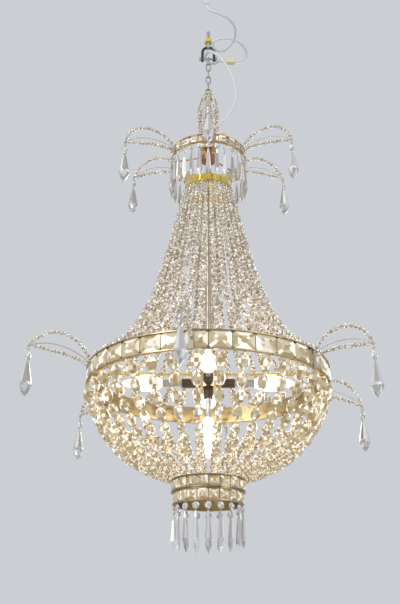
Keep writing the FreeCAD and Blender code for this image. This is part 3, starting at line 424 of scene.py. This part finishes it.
class Bag:
    """Faces of many like pieces for one mesh, with a random tone for every facet that the crystal
    finishes turn into a painted reflection.
    """

    def __init__(self, seed):
        self.verts, self.faces, self.tones, self.finishes = [], [], [], []
        self.random = random.Random(seed)

    def face(self, corners, finish):
        self.faces.append(corners)
        self.tones.append(self.random.random())
        self.finishes.append(finish)

    def stack(self, place, rings, finish=0):
        """Join rings of local points, first to last, and close both ends.

        A ring that is turned half a step against the one before is joined by triangles.
        """
        starts = []
        count = len(rings[0][0])
        for points, _ in rings:
            starts.append(len(self.verts))
            self.verts += [place @ Vector(point) for point in points]
        for n in range(len(rings) - 1):
            low, high = starts[n], starts[n + 1]
            shift = rings[n + 1][1] - rings[n][1]
            for i in range(count):
                j = (i + 1) % count
                if shift == 0:
                    self.face((low + i, low + j, high + j, high + i), finish)
                elif shift > 0:
                    self.face((low + i, low + j, high + i), finish)
                    self.face((low + j, high + j, high + i), finish)
                else:
                    self.face((low + i, high + j, high + i), finish)
                    self.face((low + i, low + j, high + j), finish)
        self.face(tuple(reversed(range(starts[0], starts[0] + count))), finish)
        self.face(tuple(range(starts[-1], starts[-1] + count)), finish)

    def tube(self, points, radius, sides=6, finish=1):
        """A thin round wire through points."""
        rings = []
        side = Vector((0.31, 0.57, 0.76))
        for n, point in enumerate(points):
            along = (points[min(n + 1, len(points) - 1)] - points[max(n - 1, 0)]).normalized()
            side = (side - along * side.dot(along)).normalized()
            other = along.cross(side)
            rings.append(([point + (side * math.cos(a) + other * math.sin(a)) * radius
                           for a in [2 * math.pi * k / sides for k in range(sides)]], 0))
        self.stack(Matrix.Identity(4), rings, finish)

    def hoop(self, place, major, minor, finish=1, around=20, sides=8):
        """A wire ring in the local XY plane."""
        start = len(self.verts)
        for k in range(around):
            a = 2 * math.pi * k / around
            for m in range(sides):
                b = 2 * math.pi * m / sides
                reach = major + minor * math.cos(b)
                point = Vector((reach * math.cos(a), reach * math.sin(a), minor * math.sin(b)))
                self.verts.append(place @ point)
        for k in range(around):
            for m in range(sides):
                p, q = (k + 1) % around, (m + 1) % sides
                corners = (k * sides + m, p * sides + m, p * sides + q, k * sides + q)
                self.face(tuple(start + corner for corner in corners), finish)

    def piece(self, name, finishes, body, nodes, slot):
        """One object that stands for CAD nodes and rides on their body."""
        mesh = bpy.data.meshes.new(name)
        mesh.from_pydata(self.verts, [], self.faces)
        mesh.attributes.new("tone", "FLOAT", "FACE").data.foreach_set("value", self.tones)
        mesh.polygons.foreach_set("material_index", self.finishes)
        for finish in finishes:
            mesh.materials.append(finish_of(finish))
        shape = bmesh.new()
        shape.from_mesh(mesh)
        bmesh.ops.recalc_face_normals(shape, faces=shape.faces)
        shape.to_mesh(mesh)
        shape.free()
        piece = bpy.data.objects.new(name, mesh)
        bpy.context.scene.collection.objects.link(piece)
        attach(piece, body)
        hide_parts(*nodes)
        return piece


def ring_of(count, wide, deep, height, twist=0.0):
    """A ring of count points, wide and deep in half sizes, turned by a share of a step."""
    step = 2 * math.pi / count
    return ([(wide * math.cos(step * (k + twist)), deep * math.sin(step * (k + twist)), height)
             for k in range(count)], twist)


def cut_stone(bag, place, profile, sides, flat=1.0):
    """A cut stone from (radius, height, twist) rows."""
    bag.stack(place, [ring_of(sides, r, r * flat, z, twist) for r, z, twist in profile])


def round_rows(radius, half):
    """Rows of a round cut bead, with kite facets above and below its girdle."""
    return ((0.26 * radius, -half, 0.0), (0.76 * radius, -0.62 * half, 0.5), (radius, -0.1 * half, 0.0),
            (radius, 0.1 * half, 0.0), (0.76 * radius, 0.62 * half, 0.5), (0.26 * radius, half, 0.0))


def oval_rows(radius, half):
    """Rows of a long cut oval."""
    return ((0.2 * radius, -half, 0.0), (0.66 * radius, -0.72 * half, 0.5),
            (0.95 * radius, -0.25 * half, 0.0), (0.95 * radius, 0.25 * half, 0.0),
            (0.66 * radius, 0.72 * half, 0.5), (0.2 * radius, half, 0.0))


def thread(bag, azimuth, points, radii, ovals, start, end, wire, cuts, gap):
    """One string of beads along (radius, height) points, and its wire."""
    for n, radius in enumerate(radii, 1):
        before = (points[n] - points[n - 1]).length - (start if n == 1 else 0.0)
        after = (points[n + 1] - points[n]).length - (end if n == len(radii) else 0.0)
        half = min(before if n == 1 else before / 2, after if n == len(radii) else after / 2) - gap / 2
        along = points[n + 1] - points[n - 1]
        place = stand(azimuth, points[n].x, points[n].y, along.x, along.y)
        place = place @ Matrix.Rotation(bag.random.uniform(0.0, math.pi), 4, "Z")
        rows = oval_rows if n <= ovals else round_rows
        cut_stone(bag, place, rows(radius, half), cuts)
    bag.tube([stand(azimuth, point.x, point.y).translation for point in points], wire, WIRE_SIDES)


def hung_curve(top, lean, top_reach, foot, rise, foot_reach, widens):
    """The curve of a string that leaves its top near the plumb line and its foot near the level.

    widens is 1 where the string gets wider on its way down, and -1 where it gets narrower.
    """
    start, end = Vector(top) * MM, Vector(foot) * MM
    lean, rise = math.radians(lean), math.radians(rise)
    first = start + Vector((widens * math.sin(lean), -math.cos(lean))) * (top_reach * MM)
    last = end + Vector((-widens * math.cos(rise), math.sin(rise))) * (foot_reach * MM)
    return Path((start, first, last, end))


def string_groups(kind, sizes, points, radii, ovals, ends, finishes):
    """The strings of the tent or of the basket, one piece for each of the four groups."""
    share = STRINGS // len(SIDES)
    for group, side in enumerate(SIDES):
        bag = Bag(SEEDS[kind] + group)
        for n in range(group * share, (group + 1) * share):
            azimuth = 180.0 / STRINGS + 360.0 * n / STRINGS
            thread(bag, azimuth, points, radii, ovals, *ends, sizes.wire, sizes.cuts, BEAD_GAP * MM)
        bag.piece(kind + "_strings_" + side, finishes, "fixture", [kind + "_" + side], "crystal")


# ---------------------------------------------------------------- operators
class MixFinishes(Operator):
    """Mix every glass, metal and plastic of the chandelier"""
    bl_idname = "chandelier.mix_finishes"
    bl_label = "Mix Finishes"

    def execute(self, context):
        f = context.scene.finishes
        # The crystal finishes paint reflections into their colour and painted glints into their glow;
        # lit_crystal and ring_crystal take the warmer colours as painted lamp light, and they glint more
        # often than cut_crystal.
        crystal("cut_crystal", facet_shades(f.crystal_shade, f.crystal))
        crystal("lit_crystal", facet_shades(f.warm_shade, f.warm), 0.1, 0.55, 0.70)
        crystal("ring_crystal", facet_shades(f.warm_shade, f.warm), 0.0, 0.45, 0.76, 0.06)
        crystal("clear_crystal", facet_shades(f.drop_shade, f.drop), 0.2, 0.5)
        metal("gilded_brass", f.gilt, 0.14)
        # Painted shade: the rings' brass is the gilt darkened to 0.6, and its heavy stains are partly
        # real stains and partly painted shade, so the bands' inner faces read dark from below.
        metal("ring_brass", shade_by(f.gilt, 0.60), 0.3, 0.8)
        metal("bright_gilt", f.bright_gilt, 0.16, 0.2)
        metal("silvered_wire", f.silvered, 0.3, 0.4)
        metal("zinc", f.zinc, 0.4, 0.6, 0.3)
        metal("copper_plate", f.copper, 0.3, 0.5)
        metal("base_metal", f.base, 0.3, 0.3)
        plastic("shackle_paint", f.shackle, 0.35, 0.4)
        plastic("white_flex", f.flex, 0.42, 0.12, dent=0.03)
        plastic("cream_connector", f.cream, 0.38, 0.25)
        plastic("orange_terminal", f.orange, 0.4, 0.3)
        plastic("yellow_cap", f.yellow, 0.3, 0.3)
        plastic("white_outlet", f.outlet, 0.35, 0.2)
        plastic("black_holder", f.black, 0.4, 0.5)
        plastic("wire_skin", f.wiring, 0.5, 0.3)
        bulb_glass("lit_bulb", f.glow, f.glow_strength)
        return {"FINISHED"}


NODE_FINISHES = {
    "ceiling_hook": "zinc", "chain_links": "zinc", "shackle_bow": "shackle_paint", "shackle_pin": "zinc",
    "hook_cap": "yellow_cap", "ceiling_outlet": "white_outlet", "terminal_block": "cream_connector",
    "crown_terminal": "orange_terminal", "stem_tube": "silvered_wire", "stem_wiring": "wire_skin",
    "neck_cap": "gilded_brass", "neck_dish": "gilded_brass", "crown_band": "gilded_brass",
    "crown_spider": "copper_plate", "tent_collar": "bright_gilt", "collar_spider": "bright_gilt",
    # The ring bands take the brass darkened as painted shade.
    "main_ring_band": "ring_brass", "main_spider": "bright_gilt",
    "bottom_ring_upper": "ring_brass", "bottom_ring_lower": "ring_brass", "lamp_hub": "gilded_brass",
    "lampholders": "black_holder", "bulb_bases": "base_metal", "bulb_globes": "lit_bulb",
    "ring_spray_frames": "silvered_wire", "crown_spray_frames": "silvered_wire",
}


class FinishMetalwork(Operator):
    """Give the solid metal, plastic and bulb pieces their finishes"""
    bl_idname = "chandelier.finish_metalwork"
    bl_label = "Finish Metalwork"

    def execute(self, context):
        for node, finish in NODE_FINISHES.items():
            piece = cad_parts[node]
            piece.data.materials.clear()
            piece.data.materials.append(finish_of(finish))
        return {"FINISHED"}


class StringTent(Operator):
    """String the beads of the tent, from the collar to the main ring"""
    bl_idname = "chandelier.string_tent"
    bl_label = "String Tent"

    def execute(self, context):
        s = context.scene.string_sizes
        ends = in_metres(TENT_ENDS)
        radii = graded(s.tent_first, s.tent_last, s.tent_beads)
        points = hung_curve(**TENT).spaced(radii, *ends)
        string_groups("tent", s, points, radii, 0, ends, ("cut_crystal", "silvered_wire"))
        return {"FINISHED"}


class StringBasket(Operator):
    """String the ovals and beads of the basket, from the main ring to the bottom ring"""
    bl_idname = "chandelier.string_basket"
    bl_label = "String Basket"

    def execute(self, context):
        s = context.scene.string_sizes
        ends = in_metres(BASKET_ENDS)
        ovals = graded(s.oval, OVAL_TAPER * s.oval, s.ovals)
        beads = graded(BEAD_START * s.oval, s.basket_last, s.basket_beads)
        shares = [OVAL_SHARE * r for r in ovals] + [BEAD_SHARE * r for r in beads]
        points = hung_curve(**BASKET).spaced(shares, *ends)
        string_groups("basket", s, points, ovals + beads, s.ovals, ends, ("lit_crystal", "gilded_brass"))
        return {"FINISHED"}


class StringNeck(Operator):
    """String the beads of the neck between its two brass discs"""
    bl_idname = "chandelier.string_neck"
    bl_label = "String Neck"

    def execute(self, context):
        s = context.scene.string_sizes
        ends = in_metres(NECK_ENDS)
        top, foot = in_metres(NECK_TOP), in_metres(NECK_FOOT)
        fall = top[1] - foot[1]
        middle = [(radius * MM, top[1] - share * fall) for radius, share in NECK_POLES]
        points = Path((top, *middle, foot)).spaced(graded(1.0, NECK_SPREAD, NECK_BEADS), *ends)
        radii = graded(NECK_BEAD_FIRST * MM, NECK_BEAD_LAST * MM, NECK_BEADS)
        bag = Bag(SEEDS["neck"])
        for n in range(NECK_STRINGS):
            thread(bag, 360.0 * n / NECK_STRINGS, points, radii, 0, *ends, s.wire, s.cuts, BEAD_GAP * MM)
        bag.piece("neck_strings_beads", ("cut_crystal", "silvered_wire"), "fixture", ["neck_strings"],
                  "crystal")
        return {"FINISHED"}


def spray_lines(edge, top, reach, rise, tilt):
    """The two string curves of a spray and its tip, in millimetres of (radius, height)."""
    root, high = edge + BRACKET, top - BRACKET_TOP
    low, tip = high - WIRE_SPACING, Vector((root + reach, high - TIP_SHARE * WIRE_SPACING))
    pivot = Vector((root, (high + low) / 2))
    turn = Matrix.Rotation(math.radians(tilt), 2)

    def bent(point):
        return pivot + turn @ (Vector(point) - pivot)

    def from_tip(distance, elevation):
        angle = math.radians(elevation)
        return tip + Vector((-math.cos(angle), math.sin(angle))) * distance

    lines = []
    arch = (high + rise / CUBIC_RISE - tip.y) / math.sin(math.radians(UPPER_FALL))
    for start, height, elevation, run in ((high, rise, UPPER_FALL, arch),
                                          (low, LOWER_RISE, LOWER_FALL, LOWER_SHARE * reach)):
        poles = [Vector((root + STRING_CLEAR, start)),
                 bent((root + ROOT_SHARE * reach, start + height / CUBIC_RISE)),
                 bent(from_tip(run, elevation)), bent(from_tip(TIP_CLEAR, elevation))]
        lines.append(Path([pole * MM for pole in poles]))
    return lines, bent(tip) * MM


class StringSprays(Operator):
    """String the beads of the twelve sprays"""
    bl_idname = "chandelier.string_sprays"
    bl_label = "String Sprays"

    def execute(self, context):
        s = context.scene.string_sizes
        radii = [s.spray_bead] * SPRAY_BEADS
        ends = in_metres(SPRAY_ENDS)
        for seed, (name, spray) in enumerate(SPRAYS.items(), SEEDS["sprays"]):
            edge, top, reach, rise, first, tilts = spray
            bag = Bag(seed)
            for n, tilt in enumerate(tilts):
                azimuth = first + 360.0 * n / len(tilts)
                lines, _ = spray_lines(edge, top, reach, rise, tilt)
                for line in lines:
                    points = line.spaced(radii, *ends)
                    thread(bag, azimuth, points, radii, 0, *ends, s.wire, s.cuts, SPRAY_GAP * MM)
            bag.piece(name + "_spray_beads", ("cut_crystal", "silvered_wire"), "fixture",
                      [name + "_spray_strings"], "crystal")
        return {"FINISHED"}


class HangPearDrops(Operator):
    """Hang a bead and a pear drop from each spray"""
    bl_idname = "chandelier.hang_pear_drops"
    bl_label = "Hang Pear Drops"

    def execute(self, context):
        z = context.scene.stone_sizes
        oval_top = -OVAL_TOP * MM
        start = oval_top - PEAR_TOP * MM
        rows = [(share * z.drop, start - depth * z.drop_length, twist) for share, depth, twist in PEAR]
        rows.append((STONE_TIP * MM, start - z.drop_length, 0.0))
        rows.reverse()
        upright = Matrix.Translation((0, 0, -DROP_RING_SAG * MM)) @ Matrix.Rotation(math.pi / 2, 4, "X")
        for name, (edge, top, reach, rise, first, tilts) in SPRAYS.items():
            for n, tilt in enumerate(tilts):
                _, tip = spray_lines(edge, top, reach, rise, tilt)
                label = "%s_drop_%d" % (name, n + 1)
                hang = stand(first + 360.0 * n / len(tilts), tip.x, tip.y - DROP_EYE * MM)
                bag = Bag(SEEDS["drops"] + n)
                bag.hoop(hang @ upright, DROP_RING * MM, DROP_RING_WIRE * MM)
                cut_stone(bag, hang @ Matrix.Translation((0, 0, oval_top - OVAL_HALF * MM)),
                          oval_rows(OVAL_RADIUS * MM, OVAL_HALF * MM), DROP_CUTS)
                bag.tube([hang @ Vector((0, 0, start + PIN_ABOVE * MM)),
                          hang @ Vector((0, 0, start - PIN_INSIDE * MM))], PIN * MM)
                cut_stone(bag, hang, rows, DROP_CUTS)
                bag.piece(label + "_crystal", ("clear_crystal", "silvered_wire"), label, [label],
                          "crystal")
        return {"FINISHED"}


class HangPrisms(Operator):
    """Hang the buttons and prisms under the crown and the bottom ring"""
    bl_idname = "chandelier.hang_prisms"
    bl_label = "Hang Prisms"

    def execute(self, context):
        z = context.scene.stone_sizes
        middle = -BUTTON_DROP * MM - z.button
        start = middle - z.button - BUTTON_GAP * MM
        for node, (radius, height, count, setting, seed) in PRISMS.items():
            tall = getattr(z, setting)
            rows = [(share * z.prism, start - depth * tall, 0.0) for share, depth in SPEAR]
            rows = [(STONE_TIP * MM, start - tall, 0.0), *reversed(rows), (SPEAR_TOP * MM, start, 0.0)]
            bag = Bag(seed)
            for n in range(count):
                azimuth = 360.0 * n / count
                hang = stand(azimuth, radius * MM, height * MM)
                place = stand(azimuth, radius * MM, height * MM + middle, 1.0, 0.0)
                cut_stone(bag, place, round_rows(z.button, BUTTON_HALF * z.button), BUTTON_CUTS)
                bag.tube([hang.translation, hang @ Vector((0, 0, start - PIN_INSIDE * MM))], PIN * MM)
                twist = math.radians(bag.random.uniform(-SPEAR_TURN, SPEAR_TURN))
                cut_stone(bag, hang @ Matrix.Rotation(twist, 4, "Z"), rows, SPEAR_CUTS, SPEAR_FLAT)
            bag.piece(node + "_stones", ("clear_crystal", "gilded_brass"), "fixture", [node], "crystal")
        return {"FINISHED"}


class SetRingStones(Operator):
    """Set the step-cut blocks into the channels of the rings"""
    bl_idname = "chandelier.set_ring_stones"
    bl_label = "Set Ring Stones"

    def execute(self, context):
        table = context.scene.stone_sizes.table
        for node, (radius, top, tall, count, finish, seed) in BLOCKS.items():
            block = self.block(radius, tall / 2 - BLOCK_RIM, count, table)
            bag = Bag(seed)
            for n in range(count):
                azimuth = 180.0 / count + 360.0 * n / count
                bag.stack(stand(azimuth, 0.0, (top - tall / 2) * MM), block)
            bag.piece(node + "_cut", (finish,), "fixture", [node], "crystal")
        return {"FINISHED"}

    def block(self, radius, high, count, table):
        """The outlines of one block, from its back to its table, on the ring's axis."""
        back = radius - BLOCK_BACK
        girdle = back + GIRDLE * (radius - GIRDLE_CLEAR - back)
        wide = girdle * math.tan(math.pi / count) - BLOCK_SIDE
        front = radius - BLOCK_FRONT - (table * wide) ** 2 / (2 * radius)
        step = girdle + STEP_DEPTH * (front - girdle), STEP_BASE + (1.0 - STEP_BASE) * table
        outlines = []
        for reach, share in ((back, BACK_SHARE), (back + BACK_BEVEL, 1.0), (girdle, 1.0), step,
                             (front, table)):
            w, h = wide * share, high * share
            c = (CORNER + CORNER_GROWTH * (1.0 - share)) * min(w, h)
            corners = ((-w + c, -h), (w - c, -h), (w, -h + c), (w, h - c), (w - c, h), (-w + c, h),
                       (-w, h - c), (-w, -h + c))
            outlines.append(([(x * MM, -reach * MM, y * MM) for x, y in corners], 0))
        return outlines


CABLE_RADIUS = 3.2
# Where each cable's stretch between its two bodies starts and ends, in metres
SUPPLY_BEND = (-0.003, -0.125, -0.024), (0.072, -0.006, -0.064)
FLEX_BEND = (0.030, -0.010, -0.075), (0.061, -0.042, -0.200)
SUPPLY_ROUTE = (  # right, towards the viewer and down from the ceiling, in millimetres
    (-3, 130, 9), (-3, 130, 20), (8, 131, 30), (26, 129, 35), (46, 119, 38), (61, 102, 41),
    (67, 80, 44), (64, 50, 46), (48, 21, 46), (30, 9, 44), (14, 17, 41), (10, 32, 38),
    (20, 43, 35.5), (42, 47, 34), (68, 42, 35), (90, 25, 41), (97, 11, 51), (91, 3.5, 62),
    (79, 3, 69), (66, 3, 69),
)
FLEX_ROUTE = (
    (42, 3, 69), (36, 3, 69), (30.2, -0.1, 66.6), (25.7, -9.1, 59.6), (22.5, -22, 53),
    (12, -30, 48), (-1, -29, 45), (-7, -18.5, 43.5), (-6, -4, 44), (-2, 14, 48), (9, 30, 60),
    (27, 39, 85), (46, 42, 117), (61, 42, 156), (67, 42, 200), (61, 42, 240), (44, 44, 272),
    (22, 48, 298), (5, 53, 310), (-8, 59, 321), (-10, 64, 334), (0, 66.5, 342.5), (14.5, 66.5, 343),
)


class RunCables(Operator):
    """Run the supply cable from the ceiling and the flex down to the crown"""
    bl_idname = "chandelier.run_cables"
    bl_label = "Run Cables"

    def cable(self, name, route, node, bodies, start, end):
        """A round cable along a smooth line between two bodies. Returns it and its line."""
        curve = bpy.data.curves.new(name, "CURVE")
        curve.dimensions = "3D"
        curve.resolution_u = 10
        line = curve.splines.new("NURBS")
        line.points.add(len(route) - 1)
        for point, (x, towards, depth) in zip(line.points, route):
            point.co = (x * MM, -towards * MM, -depth * MM, 1.0)
        line.order_u = 3
        line.use_endpoint_u = True
        shape = bpy.data.objects.new(name, curve)
        path = [tuple(vert.co) for vert in bpy.data.meshes.new_from_object(shape).vertices]
        curve.bevel_depth = CABLE_RADIUS * MM
        curve.bevel_resolution = 4
        curve.use_fill_caps = True
        mesh = bpy.data.meshes.new_from_object(shape)
        bpy.data.objects.remove(shape)
        mesh.materials.clear()
        mesh.materials.append(finish_of("white_flex"))
        mesh.shade_smooth()
        piece = bpy.data.objects.new(name, mesh)
        bpy.context.scene.collection.objects.link(piece)
        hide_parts(node)
        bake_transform(piece)
        return piece, path

    def execute(self, context):
        supply, path = self.cable("supply_lead", SUPPLY_ROUTE, "supply_cable", ("ceiling", "shackle"),
                                  *SUPPLY_BEND)
        flex, path = self.cable("crown_flex", FLEX_ROUTE, "lamp_flex", ("shackle", "fixture"),
                                *FLEX_BEND)
        return {"FINISHED"}


PALE_WALL = (0.60, 0.62, 0.65)
WALL_SEEN = 0.75            # how far the floor takes the wall's colour where it is seen
FLOOR_HALF, FLOOR_LEVEL = 9.0, -2.3  # metres, as are the places below
ROOM_LIGHT, ROOM_STRENGTH = (0.93, 0.96, 1.0), 0.62
LAMPS = {  # place, size, power in watts
    "key": ((-2.2, -2.6, 0.6), 1.6, 42.0),
    "fill": ((2.6, -2.0, -0.4), 2.0, 20.0),
    "rim": ((0.6, 2.8, 0.4), 1.4, 30.0),
}
LAMP_AIM = (0.0, 0.0, -0.7)
CAMERA_PLACE = (0.0, -1.535, -1.410)
CAMERA_TILT = 24.06         # degrees above the level
FRAME_HEIGHT, FOCAL_LENGTH, AXIS_SHIFT = 604.0, 780.0, 8.3  # pixels
SENSOR = 36.0


class BuildStage(Operator):
    """Add the floor, the lights, the world and the camera"""
    bl_idname = "chandelier.build_stage"
    bl_label = "Build Stage"

    def execute(self, context):
        scene = context.scene
        material, tree = new_material("studio_floor")
        seen = self.seen(tree)
        diffuse = tree.add("ShaderNodeBsdfDiffuse", None, {"Color": (*PALE_WALL, 1.0)})
        pale = tree.add("ShaderNodeEmission", None, {"Color": (*PALE_WALL, 1.0), "Strength": 1.0})
        mixed = tree.add("ShaderNodeMixShader", None, {0: seen * WALL_SEEN, 1: diffuse, 2: pale})
        tree.add("ShaderNodeOutputMaterial", None, {"Surface": mixed})
        mesh = bpy.data.meshes.new("studio_floor")
        corners = [(x * FLOOR_HALF, y * FLOOR_HALF, FLOOR_LEVEL)
                   for x, y in ((-1, -1), (1, -1), (1, 1), (-1, 1))]
        mesh.from_pydata(corners, [], [(0, 1, 2, 3)])
        mesh.materials.append(material)
        floor = bpy.data.objects.new("studio_floor", mesh)
        scene.collection.objects.link(floor)
        world = bpy.data.worlds.new("studio_world")
        scene.world = world
        world.use_nodes = True
        world.node_tree.nodes.clear()
        tree = Value(world.node_tree)
        seen = self.seen(tree)
        room = tree.add("ShaderNodeBackground", None,
                        {"Color": (*ROOM_LIGHT, 1.0), "Strength": ROOM_STRENGTH})
        backdrop = tree.add("ShaderNodeBackground", None, {"Color": (*PALE_WALL, 1.0), "Strength": 1.0})
        mixed = tree.add("ShaderNodeMixShader", None, {0: seen, 1: room, 2: backdrop})
        tree.add("ShaderNodeOutputWorld", None, {"Surface": mixed})
        for name, (place, size, power) in LAMPS.items():
            light = bpy.data.lights.new(name, "AREA")
            light.size = size
            light.energy = power
            lamp = bpy.data.objects.new(name, light)
            lamp.location = place
            lamp.rotation_euler = (Vector(LAMP_AIM) - Vector(place)).to_track_quat("-Z", "Y").to_euler()
            scene.collection.objects.link(lamp)
        lens = bpy.data.cameras.new("view")
        lens.sensor_fit = "VERTICAL"
        lens.sensor_height = SENSOR
        lens.lens = FOCAL_LENGTH / FRAME_HEIGHT * SENSOR
        lens.shift_x = -AXIS_SHIFT / FRAME_HEIGHT
        lens.clip_end = 50.0
        camera = bpy.data.objects.new("view", lens)
        camera.location = CAMERA_PLACE
        camera.rotation_euler = (math.radians(90.0 + CAMERA_TILT), 0.0, 0.0)
        scene.collection.objects.link(camera)
        scene.camera = camera
        scene.view_settings.view_transform = "Standard"
        return {"FINISHED"}

    def seen(self, tree):
        """1 for rays that the camera, a polished surface or glass sends out."""
        camera = tree.add("ShaderNodeLightPath", None, None, "Is Camera Ray")
        glossy = tree.add("ShaderNodeLightPath", None, None, "Is Glossy Ray")
        through = tree.add("ShaderNodeLightPath", None, None, "Is Transmission Ray")
        return (camera + glossy + through).math("MINIMUM", 1.0)


OPERATORS = (MixFinishes, FinishMetalwork, StringTent, StringBasket, StringNeck, StringSprays,
             HangPearDrops, HangPrisms, SetRingStones, RunCables, BuildStage)


class ChandelierPanel(Panel):
    """The steps that dress the chandelier, in order"""
    bl_idname = "VIEW3D_PT_chandelier"
    bl_label = "Chandelier"
    bl_space_type = "VIEW_3D"
    bl_region_type = "UI"
    bl_category = "Chandelier"

    def draw(self, context):
        for operator in OPERATORS:
            self.layout.operator(operator.bl_idname)


CLASSES = (StringSizes, StoneSizes, Finishes, *OPERATORS, ChandelierPanel)


def register():
    for cls in CLASSES:
        bpy.utils.register_class(cls)
    bpy.types.Scene.string_sizes = PointerProperty(type=StringSizes)
    bpy.types.Scene.stone_sizes = PointerProperty(type=StoneSizes)
    bpy.types.Scene.finishes = PointerProperty(type=Finishes)


def unregister():
    del bpy.types.Scene.finishes
    del bpy.types.Scene.stone_sizes
    del bpy.types.Scene.string_sizes
    for cls in reversed(CLASSES):
        bpy.utils.unregister_class(cls)


def main():
    register()
    for operator in OPERATORS:
        group, name = operator.bl_idname.split(".")
        getattr(getattr(bpy.ops, group), name)()


if __name__ == "__main__":
    main()
